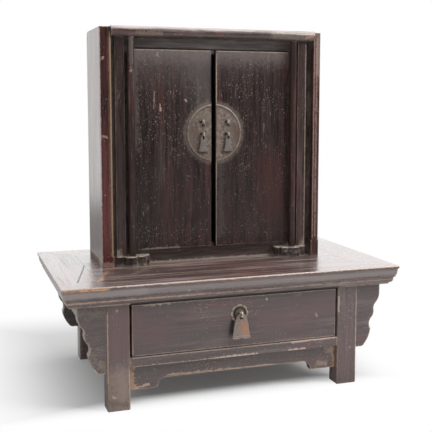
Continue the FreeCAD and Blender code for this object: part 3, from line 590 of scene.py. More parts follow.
RIGHT_DOOR_WEAR = (
    on_front(-15, (10, 545, 70, 545, 75, 0.2, PAINTED_GREY_SHEEN, 0.45))
    + on_front(-15.3, (5.0, 532, 5.0, 222, 1.5, 0.8, PALE_CHIP_AND_GLINT, 0.75))
    + on_front(-15,
               # Along the outer edge: worn wood with a painted highlight.
               (136.8, 530, 137.2, 228, 2.0, 1.0, PALE_CHIP_AND_GLINT, 0.5),
               (10, 540, 134, 540, 36.0, 0.3, PAINTED_PALE_SHEEN, 0.6),
               (8, 536.6, 136, 536.6, 1.6, 0.8, PALE_CHIP_AND_GLINT, 0.6),
               # Painted shade over the lower half of the door.
               (20, 270, 125, 290, 120.0, 0.2, PAINTED_LOWER_SHADE, 0.5),
               (100, 345, 118, 270, 44.0, 0.3, (0.056, 0.018, 0.016), 0.45),
               (13, 360, 12, 235, 7.0, 1.5, (0.075, 0.063, 0.056), 0.4)))
lacquered("left door", "z", (0.3, 0.1, 0.7), "left_door_board", LEFT_DOOR_WEAR, door_extra, **DOOR)
lacquered("right door", "z", (1.9, 0.6, 0.2), "right_door_board", RIGHT_DOOR_WEAR, door_extra, **DOOR)

# %% [markdown]
# ## The side boards
# Their front edges are oxblood, and the inner bead is rubbed down to peach-coloured wood. The right one is
# browner than the left.

# %% Side boards
PEACH = (0.34, 0.19, 0.14)
PINK_WEAR = (0.27, 0.17, 0.15)
SIDE = {"Ground": (0.055, 0.018, 0.015), "Red": (0.078, 0.019, 0.017), "Dull": (0.070, 0.034, 0.030),
        "Redness": 0.7, "Dullness": 0.3, "Grain": 0.6, "Marks": 0.5, "coat": 0.2, "shine": 0.3}
BROWNER_SIDE = {**SIDE, "Ground": (0.045, 0.024, 0.020), "Red": (0.060, 0.026, 0.022),
                "Dull": (0.085, 0.058, 0.050)}
lacquered("left side", "z", (0.7, 0.1, 0.3), "left_side_board", [
    ((-171.2, -25, 212), (-171.2, -25, 560), 2.7, 0.9, (0.27, 0.175, 0.115), 0.85),
    ((-185, -25, 198), (-172, -25, 197), 6.0, 0.8, PINK_WEAR, 0.6),
    # A pale line down the outer front edge: worn wood with a painted highlight.
    ((-187.3, -23.6, 200), (-187.3, -23.6, 566), 1.4, 0.9, (0.42, 0.31, 0.27), 0.8),
    ((-182.6, -25, 522), (-182.8, -25, 520), 2.2, 0.9, PEACH, 0.8),
    ((-184, -25, 401), (-178, -25, 399), 2.4, 1.2, PEACH, 0.7),
    ((-187.5, 91, 201), (-187.5, -24, 203), 1.6, 0.8, PEACH, 0.8)], **SIDE)
lacquered("right side", "z", (0.2, 0.6, 1.9), "right_side_board", on_front(
    -25,
    (175.6, 222, 175.6, 560, 1.6, 0.8, PINK_WEAR, 0.7),
    (182, 500, 182, 565, 7.0, 1.3, (0.21, 0.15, 0.13), 0.6),
    (180.5, 225, 180.5, 560, 1.8, 1.3, PINK_WEAR, 0.6))
    + on_front(-24, (187.2, 222, 187.2, 566, 1.6, 0.9, PINK_WEAR, 0.6)), **BROWNER_SIDE)

# %% [markdown]
# ## Posts and jambs
# The round posts that the doors turn on are the reddest parts, with a grey highlight painted near the top.
# Dust has gathered at the feet of the jambs.

# %% Posts and jambs
lacquered("door posts", "z", (2.1, 0.4, 0.6), "left_door_post right_door_post", on_front(
    -28,
    # A grey highlight painted near the top of the post.
    (-139, 552, -139, 515, 5.0, 0.8, PAINTED_GREY_SHEEN, 0.7),
    (-139.6, 508, -139, 503, 2.4, 1.4, PALE_CHIP_AND_GLINT, 0.7)),
    Ground=(0.032, 0.016, 0.014), Red=(0.058, 0.020, 0.017), Dull=(0.062, 0.044, 0.040),
    Redness=0.5, Dullness=0.4, Edge_wear=0.2, Marks=0.5, shine=0.3)
lacquered("jambs", "z", (0.7, 1.4, 0.1), "left_jamb right_jamb", [
    ((163.0, -19.2, 212), (163.0, -19.2, 552), 1.5, 1.2, PALE_CHIP_AND_GLINT, 0.45),
    ((-155, -19.5, 195), (-163, -19.5, 215), 9.0, 0.9, PALE_DUST, 0.55),
    ((155, -19.5, 195), (163, -19.5, 215), 9.0, 0.9, PALE_DUST, 0.55)],
    Ground=(0.038, 0.021, 0.019), Red=(0.065, 0.028, 0.026), Dull=(0.070, 0.048, 0.045),
    Redness=0.5, Dullness=0.45, Edge_wear=0.3, shine=0.3)

# %% [markdown]
# ## Blocks, lintel and base rail
# Pale dust lies on the carved blocks, on the faces that look up. The lintel has a line of painted shadow
# where the doors close under it, and the base rail a line of dust where it meets the stand.

# %% Blocks, lintel and base rail
BLOCK_TOP = 208.0


def dusty_top(w, here, colour, rough):
    """Pale dust on faces that look up, at the height of the blocks' tops."""
    up = w.parts(w.add("NewGeometry").outputs["Normal"])["Z"]
    high = w.parts(here)["Z"]
    patchy = w.step(w.noise(here, 110.0, 4.0, 0.65), 0.3, 0.6, 0.35, 0.9)
    mask = w.times(w.step(up, 0.5, 0.9), w.step(high, (BLOCK_TOP - 1.0) * MM, BLOCK_TOP * MM))
    mask = w.times(mask, patchy)
    return w.mix(mask, colour, PALE_DUST), w.lerp(mask, rough, 0.8)


lacquered("pivot blocks", "x", (0.2, 0.4, 2.1), "left_pivot_block right_pivot_block", extra=dusty_top,
          Redness=0.1, Dullness=0.55, Dull=(0.15, 0.12, 0.105), Edge_wear=0.75, Dust=0.8)
lacquered("lintel", "x", (1.2, 0.4, 0.8), "lintel",
          # Painted shadow where the doors close under the lintel.
          on_front(-6, (-137, 538.4, 137, 538.4, 2.2, 0.2, PAINTED_BLACK_SHADE, 0.95)),
          Ground=(0.10, 0.082, 0.078), Dull=(0.19, 0.165, 0.155), Redness=0.15, Dullness=0.6, Grain=0.35)
lacquered("base rail", "x", (0.4, 1.2, 0.8), "base_rail",
          on_front(-6, (-109, 192.5, 109, 192.5, 3.4, 0.9, PALE_DUST, 0.9)),
          Ground=(0.06, 0.04, 0.036), Red=(0.11, 0.05, 0.045), Dull=(0.12, 0.09, 0.08),
          Redness=0.4, Dullness=0.4)

# %% [markdown]
# ## The top rail
# Its rounded nose is pale along the top, worn where hands lift the cabinet and with a painted highlight over
# the wear, and it has one knot.

# %% Top rail
# Pale worn wood with a painted highlight, for the top of the nose.
WORN_PALE_AND_HIGHLIGHT = (0.31, 0.25, 0.225)
DUSTY_TAN = (0.22, 0.175, 0.135)
KNOT = (0.045, 0.022, 0.015)


def rail_extra(w, here, colour, rough):
    """Pale streaks along the upper half of the nose: worn lacquer with a painted highlight."""
    streaky = w.sway(w.stretched(here, (0.12, 1.0, 1.0)), 190.0, 4.0, 0.65)
    level = w.plus(w.parts(here)["Z"], w.times(streaky, 0.016))
    worn = w.step(level, 565.0 * MM, 570.5 * MM, 0.0, 0.9)
    return w.mix(worn, colour, WORN_PALE_AND_HIGHLIGHT), w.lerp(worn, rough, 0.36)


RAIL_WEAR = [((100, -29, 562), (168, -27, 562), 7.0, 1.3, DUSTY_TAN, 0.45)] + on_front(
    -29,
    (-128, 561, -92, 560, 5.0, 1.3, DUSTY_TAN, 0.4),
    (-168, 560, -150, 557, 5.0, 1.4, (0.05, 0.03, 0.026), 0.7))
RAIL_WEAR += on_front(
    -31,
    (-30, 562, 60, 562.5, 2.6, 1.6, KNOT, 0.6),
    (3, 561.5, 9, 561.9, 4.4, 0.9, (0.12, 0.035, 0.025), 0.95),
    (5, 562, 7, 562, 1.6, 0.5, KNOT, 0.9))
RAIL_WEAR += on_front(-30, (160, 560, 174, 566, 5.0, 0.9, PEACH, 0.55))
lacquered("top rail", "x", (0.2, 1.9, 0.3), "top_rail", RAIL_WEAR, rail_extra,
          Ground=(0.055, 0.034, 0.030), Red=(0.085, 0.040, 0.034), Dull=(0.13, 0.098, 0.088),
          Redness=0.5, Dullness=0.5, Edge_wear=0.5, Grain=0.7, Marks=0.5, Gloss=0.27)

# %% [markdown]
# ## The top of the stand
# The top is the glossiest face. It is brown with long wavy grain. Near the left end there is an old crack,
# and a peeled streak where something was dragged.

# %% The top's panel and ends
ORANGE_WOOD = (0.52, 0.27, 0.12)
TAN = (0.42, 0.31, 0.25)
TOP = {"Ground": (0.095, 0.063, 0.058), "Red": (0.14, 0.070, 0.064), "Dull": (0.215, 0.165, 0.152),
       "Redness": 0.5, "Dullness": 0.55, "Grain": 0.45, "Grain_scale": 1.0, "Gloss": 0.24, "Marks": 0.6,
       "Edge_wear": 0.45, "coat": 0.5}
CRACKS = on_level(
    192,
    (-182.7, 135, -219, -24, 1.1, 0.6, CRACK, 0.8),
    (-219, -24, -241, -113, 1.3, 0.6, CRACK, 0.85),
    (-229, -59, -210, -124, 1.0, 1.2, TAN, 0.5),
    (-222, -70, -200, -110, 0.9, 1.4, TAN, 0.45))
PEELED = (-204, -98, -184, -48, 2.2, 1.3, ORANGE_WOOD, 0.55)
lacquered("table panel", "x", (0.9, 0.2, 0.9), "top_panel", on_level(
    192,
    (-165, -95, -110, -33, 8.0, 1.6, PALE_DUST, 0.15),
    (-165, -29, 165, -22, 3.2, 1.3, PALE_DUST, 0.6),
    (-187, -27, -168, -27, 3.0, 0.9, ORANGE_WOOD, 0.6),
    PEELED), **TOP)
lacquered("table ends", "y", (0.4, 0.7, 0.5), "top_left_rail top_right_rail", CRACKS, **TOP)

# %% [markdown]
# ## The moulded front
# The front edge has lost its lacquer in a tan line that widens to orange wood at the left. The hollow of the
# moulding has a painted pale highlight, its bead has a tan line, and the gap above the drawer is painted
# black as shade.

# %% The moulded front
FRONT_WEAR_AND_SHADING = CRACKS[1:3] + on_level(
    192,
    PEELED,
    (-212, -112, -202, -100, 3.0, 1.4, ORANGE_WOOD, 0.5),
    (-207, -128, -170, -140, 2.4, 1.4, CRACK, 0.6))
FRONT_WEAR_AND_SHADING += on_front(-153, (-200, 188.5, 268, 188.5, 2.1, 0.4, (0.085, 0.055, 0.047), 0.7))
# A pale highlight painted along the hollow of the moulding.
FRONT_WEAR_AND_SHADING += on_front(
    -150.6,
    (-268, 181.5, -150, 181.5, 7.0, 0.3, (0.27, 0.235, 0.225), 0.7),
    (-150, 181.5, 268, 181.5, 6.5, 0.3, (0.215, 0.187, 0.18), 0.65))
FRONT_WEAR_AND_SHADING += on_front(-152.5, (-268, 191, 268, 191, 1.5, 0.9, (0.52, 0.41, 0.35), 0.8))
FRONT_WEAR_AND_SHADING += on_front(
    -153,
    (-266, 189, -205, 188.5, 3.6, 1.5, (0.36, 0.22, 0.15), 0.7),
    (-243, 189.5, -232, 189.5, 2.4, 1.7, ORANGE_WOOD, 0.8),
    (-226, 188, -207, 187.5, 2.8, 1.8, ORANGE_WOOD, 0.8))
# Black painted shade at the gap above the drawer.
FRONT_WEAR_AND_SHADING += on_front(-141, (-167, 160.8, 167, 160.8, 3.4, 0.12, PAINTED_BLACK_SHADE, 0.97))
FRONT_WEAR_AND_SHADING += on_front(
    -146,
    (-265, 169.5, -60, 169.5, 1.7, 1.0, TAN, 0.6),
    (-60, 169.5, 265, 169.5, 1.4, 1.3, TAN, 0.4))
lacquered("table front", "x", (0.9, 0.2, 0.5), "top_front_rail top_back_rail", FRONT_WEAR_AND_SHADING, **TOP)

# %% [markdown]
# ## Legs
# The stand is paler than the cupboard: its lacquer has gone pinkish grey. The outer edge of each leg is worn
# to a tan line, and the feet are stained by damp floors.

# %% Legs
STAND = {"Ground": (0.080, 0.058, 0.056), "Red": (0.100, 0.056, 0.055), "Dull": (0.116, 0.090, 0.086),
         "Redness": 0.5, "Dullness": 0.5, "Grain": 0.22, "Marks": 0.7, "Edge_wear": 0.5}
LEG = {**STAND, "Ground": (0.098, 0.066, 0.063), "Dull": (0.145, 0.110, 0.103)}
FOOT_STAIN = (0.27, 0.20, 0.155)
FOOT_DARK = (0.08, 0.055, 0.045)
LEG_WEAR_AND_GLARE = on_front(
    -135.5,
    (-203, 150, -203, 45, 1.6, 1.1, (0.50, 0.32, 0.23), 0.75),
    (203, 150, 203, 20, 1.5, 1.1, TAN, 0.7),
    (-188.5, 151.5, -187.8, 151, 2.4, 0.9, PALE_CHIP_AND_GLINT, 0.8),
    (-181, 142, -184, 95, 24.0, 0.3, (0.115, 0.058, 0.058), 0.7))
# A pale glare painted on the outer face of the back left leg.
LEG_WEAR_AND_GLARE += on_front(134, (-203.5, 158, -203.5, 0, 16.0, 0.2, (0.40, 0.37, 0.35), 0.85))
LEG_WEAR_AND_GLARE += on_front(
    -135.5,
    (171, 144, 171.3, 121, 2.0, 0.8, TAN, 0.85),
    (-186, 50, -182, 0, 30.0, 0.5, FOOT_STAIN, 0.6),
    (-195, 23, -193, 21, 2.2, 1.2, PALE_CHIP_AND_GLINT, 0.8),
    (-200, 14, -174, 8, 4.0, 2.4, FOOT_DARK, 0.5),
    (-170.5, 60, -170.5, 2, 1.6, 1.0, TAN, 0.6))
lacquered("legs", "z", (0.5, 2.2, 1.3), "front_left_leg front_right_leg back_left_leg back_right_leg",
          LEG_WEAR_AND_GLARE, **LEG)

# %% [markdown]
# ## The drawer's front
# Tan lines follow its edges, two reddish areas show where the lacquer is thinner, and the top edge is painted
# black as shade, so it only shows as a dark gap. A shadow is painted to the left of the pull.

# %% Drawer front
DRAWER = {**STAND, "Ground": (0.074, 0.053, 0.051), "Dull": (0.104, 0.081, 0.078)}
# Black painted shade over the top edge and in the gap above it.
DRAWER_WEAR_AND_SHADE = on_front(-130.6, (-165, 158.2, 165, 158.2, 4.4, 0.1, PAINTED_BLACK_SHADE, 0.95))
DRAWER_WEAR_AND_SHADE += on_front(-135, (-165, 157.7, 165, 157.7, 1.6, 0.8, (0.50, 0.40, 0.34), 0.75))
DRAWER_WEAR_AND_SHADE += on_front(-120, (-165, 158.2, 165, 158.2, 13.0, 0.1, PAINTED_BLACK_SHADE, 0.95))
DRAWER_WEAR_AND_SHADE += on_front(
    -135,
    (-165.6, 150, -165.6, 85, 1.4, 1.0, TAN, 0.5),
    (-160, 80.6, 160, 80.6, 1.5, 1.2, TAN, 0.55),
    (-146, 157, -108, 157.4, 2.8, 1.5, (0.46, 0.38, 0.31), 0.85),
    # A painted shadow to the left of the pull.
    (-9.5, 119, -12.5, 103, 4.5, 0.5, PAINTED_BLACK_SHADE, 0.7),
    (-155, 135, -130, 110, 44.0, 0.3, (0.105, 0.054, 0.057), 0.6),
    (50, 116, 155, 135, 34.0, 0.3, (0.100, 0.056, 0.058), 0.7),
    (47, 150.5, 47.6, 150, 2.4, 0.8, PALE_CHIP_AND_GLINT, 0.85),
    (132, 119, 133, 117, 2.2, 1.6, PALE_CHIP_AND_GLINT, 0.5))
lacquered("drawer front", "x", (1.1, 1.2, 0.4), "drawer_front", DRAWER_WEAR_AND_SHADE, **DRAWER)

# %% [markdown]
# ## Aprons, sides and brackets
# The shaped apron shows orange wood at both ends, the rail above it a broken pale line along its lower edge.
# The wavy brackets are the most worn and have pale blotches.

# %% Aprons, sides and brackets
APRON_ORANGE = (0.45, 0.27, 0.16)
SPLINTERED = (0.55, 0.42, 0.33)
APRON_WEAR = on_front(
    -127.5,
    (-166, 62, -164, 30, 5.0, 1.9, APRON_ORANGE, 0.75),
    (-160, 30, -140, 33, 2.0, 1.6, (0.45, 0.33, 0.24), 0.75),
    (165, 60, 168, 27, 4.2, 1.6, APRON_ORANGE, 0.75))
APRON_WEAR += on_front(
    -135.5,
    (-165, 64.4, -42, 64.4, 1.7, 1.5, (0.42, 0.29, 0.20), 0.7),
    (-165, 78.3, 90, 78.3, 1.4, 1.3, TAN, 0.4),
    (90, 77.8, 166, 78.5, 2.2, 1.0, TAN, 0.75),
    (-42, 64.6, 31, 64.8, 2.4, 1.5, SPLINTERED, 0.85),
    (86, 64.6, 113, 64.8, 2.2, 1.5, SPLINTERED, 0.8))
APRON_WEAR += on_front(
    -127.5,
    (-110, 44.5, 60, 42.5, 1.8, 1.7, (0.42, 0.30, 0.21), 0.6),
    (139, 36, 152, 34, 5.0, 1.3, FOOT_STAIN, 0.7),
    (155, 60, 163, 50, 6.0, 1.3, FOOT_STAIN, 0.7))
lacquered("aprons", "x", (0.1, 0.5, 1.7), "apron drawer_rail back_rail stand_back_panel", APRON_WEAR, **STAND)
lacquered("sides of the stand", "y", (1.5, 0.5, 0.7), "left_side_rail right_side_rail left_side_panel "
          "right_side_panel left_end_apron right_end_apron", **STAND)
lacquered("brackets", "x", (1.5, 1.5, 0.2), "front_left_spandrel front_right_spandrel back_left_spandrel "
          "back_right_spandrel", on_front(
              -130,
              (-235, 105, -228, 92, 7.0, 2.0, (0.20, 0.145, 0.095), 0.6),
              (-222, 76, -208, 66, 8.0, 2.0, (0.22, 0.165, 0.11), 0.6),
              (-250, 152, -210, 150, 9.0, 1.8, (0.17, 0.135, 0.10), 0.5)),
          **{**STAND, "Bare": (0.42, 0.34, 0.28), "Edge_wear": 0.75})

# %% [markdown]
# ## Bare wood inside
# Nobody lacquers what only the drawer and the back show. That wood is grey-brown and dry. The lacquer group
# serves here too, with wood colours, a rough surface and no coat.

# %% Bare wood
DRY_WOOD = {"Ground": (0.14, 0.095, 0.063), "Red": (0.165, 0.105, 0.068), "Dull": (0.18, 0.135, 0.10),
            "Gloss": 0.65, "Grain": 0.5, "Marks": 0.2, "coat": 0.0}
for along, own_place, parts in (
        ("x", (0.6, 0.1, 0.3), "drawer_back drawer_bottom cabinet_floor cabinet_top_board"),
        ("y", (0.4, 1.1, 0.9), "drawer_left_side drawer_right_side left_runner right_runner panel_batten"),
        ("z", (0.8, 0.3, 1.9), "left_back_board right_back_board")):
    lacquered("bare wood along " + along, along, own_place, parts, **DRY_WOOD)

# %% [markdown]
# ## Brass
# The fittings are old brass. A brown skin covers them, hands have rubbed it thin in places, and only there
# does the metal shine. So Metallic follows the same mask as the bright colour.

# %% A function for brass
BRASS_RELIEF = 0.0003
BRASS_EDGE = 0.0008


def brass(name, own_place, skin, bright, dark, rubbed=0.5, extra=None):
    """Old brass: a brown skin with dark blotches, rubbed bright on its edges and peaks."""
    material, w, shader, here = start_material(name)
    vector = w.add("Mapping", {"Vector": here, "Location": own_place}).outputs[0]
    cloud = w.noise(vector, 70.0, 4.0, 0.6)
    grit = w.noise(vector, 520.0, 4.0, 0.7)
    edges = w.group(edge_group, {"Vector": vector, "Radius": BRASS_EDGE, "Amount": 0.6})
    dust = w.group(dust_group, {"Vector": vector, "Reach": 0.004, "Amount": 0.5})
    colour = w.mix(w.step(cloud, 0.42, 0.72, 0.0, 0.75), skin, dark)
    shine = w.step(w.plus(w.times(grit, 0.6), w.times(cloud, 0.4)), 0.50, 0.62, 0.0, rubbed)
    shine = w.larger(shine, w.times(edges["Bare"], 0.85))
    colour = w.mix(dust["Mask"], w.mix(shine, colour, bright), dark)
    rough = w.lerp(shine, w.step(cloud, 0.3, 0.7, 0.52, 0.66), 0.33)
    if extra:
        colour, rough = extra(w, here, colour, rough)
    height = w.plus(w.times(cloud, 0.5), w.times(grit, 0.5))
    bump = w.add("Bump", {"Height": height, "Strength": 0.35, "Distance": BRASS_RELIEF,
                          "Normal": edges["Normal"]})
    metal = w.plus(0.25, w.times(shine, 0.65))
    w.fill(shader, {"Base Color": colour, "Roughness": rough, "Metallic": metal, "Normal": bump.outputs[0]})
    print(f"{name}: {len(material.node_tree.nodes)} nodes")
    return material


# %% [markdown]
# ## Dirt, wear and painted light on the fittings
# Shadow is painted black around each split pin and under each pendant, stains have crept over the plate, its
# rim is rubbed pale with a dirty hollow inside it, and glints are painted on the bent wire. The rosette's rim
# has a painted highlight, and the ring around its boss painted shade.

# %% Dirt, wear and painted light on the fittings
# Black painted shade around the split pins and in the ring around the rosette's boss.
PAINTED_FITTING_SHADE = (0.012, 0.009, 0.007)
# Brown stains on the plate. The same colour is also painted as shadow under the pendants.
PLATE_STAIN_AND_SHADOW = (0.095, 0.062, 0.047)
PLATE_WARM = (0.22, 0.145, 0.115)
# A bright glint painted on the pins' wire.
PAINTED_WIRE_GLINT = (0.95, 0.86, 0.68)
ROSETTE_CENTRE = Vector((2.0, -135.0, 132.0))
PIN_PLACES = [(x, z) for x in (-18.6, 24.4) for z in (422.0, 402.0)]
PLATE_MARKS_AND_SHADOWS = on_front(
    -16.4,
    # Black painted shadow beside and below each split pin.
    *[(x - dx, z - dz, x - dx + 0.8, z - dz, width, 0.8, PAINTED_FITTING_SHADE, 0.95)
      for x, z in PIN_PLACES for dx, dz, width in ((3.5, 0.3, 3.6), (-0.8, 5.8, 3.2))],
    (-38, 415, -36, 385, 13.0, 1.2, PLATE_STAIN_AND_SHADOW, 0.7),
    (38, 412, 40, 392, 7.0, 1.0, PLATE_STAIN_AND_SHADOW, 0.85),
    (8.5, 430, 8.5, 368, 3.6, 1.6, PLATE_WARM, 0.6),
    (-14, 432, -30, 436, 9.0, 1.4, (0.17, 0.135, 0.105), 0.6),
    # Painted shadows under the two pendants.
    (-30, 374, -12, 371, 4.5, 0.9, PLATE_STAIN_AND_SHADOW, 0.8),
    (16, 372, 32, 374, 4.5, 0.9, PLATE_STAIN_AND_SHADOW, 0.8))


def smeared(smears):
    """An extra for brass that paints these smears."""
    def extra(w, here, colour, rough):
        for smear in smears:
            mask, colour = smear_over(w, here, colour, smear)
            if smear[4] == PAINTED_WIRE_GLINT:
                rough = w.lerp(mask, rough, 0.22)
        return colour, rough
    return extra


def plate_extra(w, here, colour, rough):
    """Stains, painted shadow by the pins and pendants, a dirty hollow inside the rim, and a rim rubbed pale.
    """
    grit = w.noise(here, 260.0, 3.0, 0.7)
    blotch = w.noise(here, 75.0, 3.0, 0.6)
    colour = w.mix(w.step(blotch, 0.52, 0.62, 0.0, 0.55), colour, PLATE_STAIN_AND_SHADOW)
    colour = w.mix(w.step(grit, 0.5, 0.62, 0.0, 0.65), colour, (0.26, 0.21, 0.175))
    colour = w.mix(w.step(grit, 0.38, 0.48, 0.7, 0.0), colour, PLATE_STAIN_AND_SHADOW)
    colour, rough = smeared(PLATE_MARKS_AND_SHADOWS)(w, here, colour, rough)
    away = from_front(w, here, PLATE_CENTRE)
    inner = w.step(away, 40.0 * MM, 42.5 * MM, 0.0, 0.6)
    hollow = w.times(inner, w.step(away, 43.5 * MM, 44.5 * MM, 1.0, 0.0))
    colour = w.mix(hollow, colour, PLATE_STAIN_AND_SHADOW)
    broken = w.step(w.noise(here, 120.0, 4.0, 0.65), 0.36, 0.6, 0.1, 0.9)
    rim = w.times(w.step(away, 44.4 * MM, 45.2 * MM), broken)
    return w.mix(rim, colour, (0.27, 0.225, 0.20)), w.lerp(rim, rough, 0.5)


def rosette_extra(w, here, colour, rough):
    """A highlight is painted on the petals' rim, and shade is painted in the ring around the boss."""
    away = from_front(w, here, ROSETTE_CENTRE)
    broken = w.step(w.noise(here, 330.0, 4.0, 0.7), 0.38, 0.56, 0.0, 0.95)
    # The rim gets a painted highlight, and the ring painted shade.
    rim = w.times(w.step(away, 11.2 * MM, 12.2 * MM), broken)
    ring = w.times(w.step(away, 6.0 * MM, 8.5 * MM), w.step(away, 9.5 * MM, 11.0 * MM, 0.9, 0.0))
    return w.mix(rim, w.mix(ring, colour, PAINTED_FITTING_SHADE), (0.42, 0.335, 0.27)), rough


# %% [markdown]
# ## Five kinds of brass
# The plates, the rosette, the door pulls, the drawer's pull and the pins each have their own place in the
# pattern and their own three colours: the skin, the rubbed metal and the dark blotches.

# %% Five kinds of brass
PULL_WEAR = on_front(
    -144,
    (6, 115, 9, 100, 8.0, 1.3, (0.33, 0.17, 0.095), 0.75),
    (-11, 94.5, 14, 94.5, 2.2, 0.8, (0.36, 0.28, 0.27), 0.6))
# Glints painted on each pin's wire, on the side towards the key light.
PAINTED_PIN_GLINTS = [((x + 1.6, -18.0, z + 3.0), (x + 2.2, -22.0, z - 0.5), 3.6, 0.4, PAINTED_WIRE_GLINT, 0.95)
            for x, z in PIN_PLACES]
PAINTED_PIN_GLINTS += [((4.2, -138.0, 135.5), (4.2, -147.0, 127.0), 4.6, 0.3, PAINTED_WIRE_GLINT, 0.95)]

PLATE_BRASS = brass("plate brass", (0.3, 0.2, 0.1), skin=(0.140, 0.110, 0.092), bright=(0.27, 0.225, 0.18),
                    dark=(0.085, 0.062, 0.052), rubbed=0.35, extra=plate_extra)
ROSETTE_BRASS = brass("rosette brass", (0.7, 0.2, 0.5), skin=(0.13, 0.10, 0.078), bright=(0.42, 0.34, 0.25),
                      dark=(0.04, 0.028, 0.023), extra=rosette_extra)
PENDANT_BRASS = brass("pendant brass", (0.8, 0.1, 0.3), skin=(0.155, 0.130, 0.115), bright=(0.34, 0.29, 0.25),
                      dark=(0.075, 0.058, 0.048), rubbed=0.6)
PULL_BRASS = brass("pull brass", (0.1, 0.8, 0.4), skin=(0.22, 0.175, 0.155), bright=(0.44, 0.35, 0.28),
                   dark=(0.12, 0.09, 0.075), extra=smeared(PULL_WEAR))
PIN_BRASS = brass("pin brass", (0.5, 0.5, 0.2), skin=(0.13, 0.10, 0.07), bright=(0.70, 0.60, 0.44),
                  dark=(0.03, 0.022, 0.016), rubbed=0.8, extra=smeared(PAINTED_PIN_GLINTS))
finish(PIN_BRASS, "left_split_pins right_split_pins drawer_split_pin")

# %% [markdown]
# ## Making new pieces
# A few fittings have finer shapes than the CAD parts they stand for. They are made in millimetres, like the
# drawing, and scaled at the end. Each one rides on the body that its CAD part belongs to.

# %% Helpers for new pieces
def new_piece(name, shape, body, material, replaced, smooth_degrees):
    """A finished piece from a bmesh in millimetres. Edges sharper than the angle given stay sharp."""
    bmesh.ops.scale(shape, vec=(MM, MM, MM), verts=shape.verts)
    bmesh.ops.recalc_face_normals(shape, faces=shape.faces)
    mesh = bpy.data.meshes.new(name)
    shape.to_mesh(mesh)
    shape.free()
    mesh.materials.append(material)
    for polygon in mesh.polygons:
        polygon.use_smooth = True
    mesh.set_sharp_from_angle(angle=math.radians(smooth_degrees))
    piece = bpy.data.objects.new(name, mesh)
    scene.collection.objects.link(piece)
    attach(piece, body)
    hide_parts(replaced)
    print(name, len(mesh.polygons), "faces")


def spun(profile, centre, steps):
    """A closed round piece: a profile of (radius, y) spun about a front-to-back line through the centre."""
    shape = bmesh.new()
    points = [shape.verts.new((centre.x + radius, y, centre.z)) for radius, y in profile]
    edges = [shape.edges.new(pair) for pair in zip(points, points[1:])]
    bmesh.ops.spin(shape, geom=points + edges, cent=centre, axis=(0.0, 1.0, 0.0), angle=2 * math.pi,
                   steps=steps, use_merge=True)
    bmesh.ops.remove_doubles(shape, verts=shape.verts, dist=0.01)
    return shape


# %% [markdown]
# ## The round face plate
# The plate is one hammered brass disc with a rolled rim, sawn in two where the doors meet. A profile that is
# spun round its middle gives the disc, and a cut on each side of the seam gives the halves.

# %% Both halves of the face plate
PLATE_PROFILE = [(0.0, -16.7), (14.0, -16.6), (30.0, -16.35), (40.0, -16.2), (42.5, -16.3), (43.8, -16.6),
                 (44.8, -16.75), (45.8, -16.6), (46.5, -16.0), (46.5, -15.0), (0.0, -15.0)]
# For each half: where it is cut, and which way along X the other half lies.
SEAM_CUTS = {"left": (-4.0, 1.0), "right": (4.5, -1.0)}

for side, (cut_x, away) in SEAM_CUTS.items():
    half = spun(PLATE_PROFILE, PLATE_CENTRE, 128)
    everything = half.verts[:] + half.edges[:] + half.faces[:]
    cut = bmesh.ops.bisect_plane(half, geom=everything, dist=0.0001, plane_co=(cut_x, 0.0, 0.0),
                                 plane_no=(away, 0.0, 0.0), clear_outer=True)
    rim = [item for item in cut["geom_cut"] if isinstance(item, bmesh.types.BMEdge)]
    bmesh.ops.contextual_create(half, geom=rim)
    new_piece(side + "_plate", half, side + "_door", PLATE_BRASS, side + "_face_plate", 35.0)

# %% [markdown]
# ## The drawer's rosette
# Under the drawer's split pin sits a sheet rosette with eight domed petals. A capped circle is drawn in
# between the petals, its edge is drawn up by insets, and a spun dome makes the boss in the middle.

# %% Rosette
ROSETTE_RADIUS = 14.2
PETALS = 8
STEPS_PER_PETAL = 14
PETAL_NOTCH = 0.14
SHEET = 0.7
PETAL_INSETS = ((0.5, 0.35), (1.4, 0.35), (1.6, -0.25), (1.2, -0.3))
BOSS_PROFILE = [(0.0, -137.4), (2.5, -137.35), (5.5, -137.0), (7.6, -136.7), (8.4, -136.9), (9.0, -136.5),
                (9.2, -135.6), (9.2, -135.2), (0.0, -135.2)]


def make_rosette():
    shape = bmesh.new()
    turn = Matrix.Translation(ROSETTE_CENTRE) @ Matrix.Rotation(math.pi / 2, 4, "X")
    bmesh.ops.create_circle(shape, cap_ends=True, radius=ROSETTE_RADIUS, segments=PETALS * STEPS_PER_PETAL,
                            matrix=turn)
    for vert in shape.verts:
        arm = vert.co - ROSETTE_CENTRE
        petal = abs(math.cos(PETALS / 2 * math.atan2(arm.z, arm.x)))
        vert.co = ROSETTE_CENTRE + arm * (1.0 - PETAL_NOTCH + PETAL_NOTCH * petal ** 0.6)
    sheet = bmesh.ops.extrude_face_region(shape, geom=shape.faces[:])
    front = [item for item in sheet["geom"] if isinstance(item, bmesh.types.BMFace)]
    bmesh.ops.translate(shape, vec=(0.0, -SHEET, 0.0), verts=front[0].verts[:])
    for thickness, depth in PETAL_INSETS:
        bmesh.ops.inset_region(shape, faces=front, thickness=thickness, depth=depth)
    boss = spun(BOSS_PROFILE, ROSETTE_CENTRE, 48)
    spare = bpy.data.meshes.new("boss")
    boss.to_mesh(spare)
    boss.free()
    shape.from_mesh(spare)
    bpy.data.meshes.remove(spare)
    return shape


new_piece("rosette", make_rosette(), "drawer", ROSETTE_BRASS, "drawer_rosette", 40.0)

# %% [markdown]
# ## The pulls
# The pulls are cast, so no edge on them is sharp. A copy of each CAD part is merged into one skin, its flat
# faces are joined, and a bevel rounds every corner edge.

# %% Pulls with rounded edges
CAST_ROUNDING = 0.45
CORNER_DEGREES = 40.0


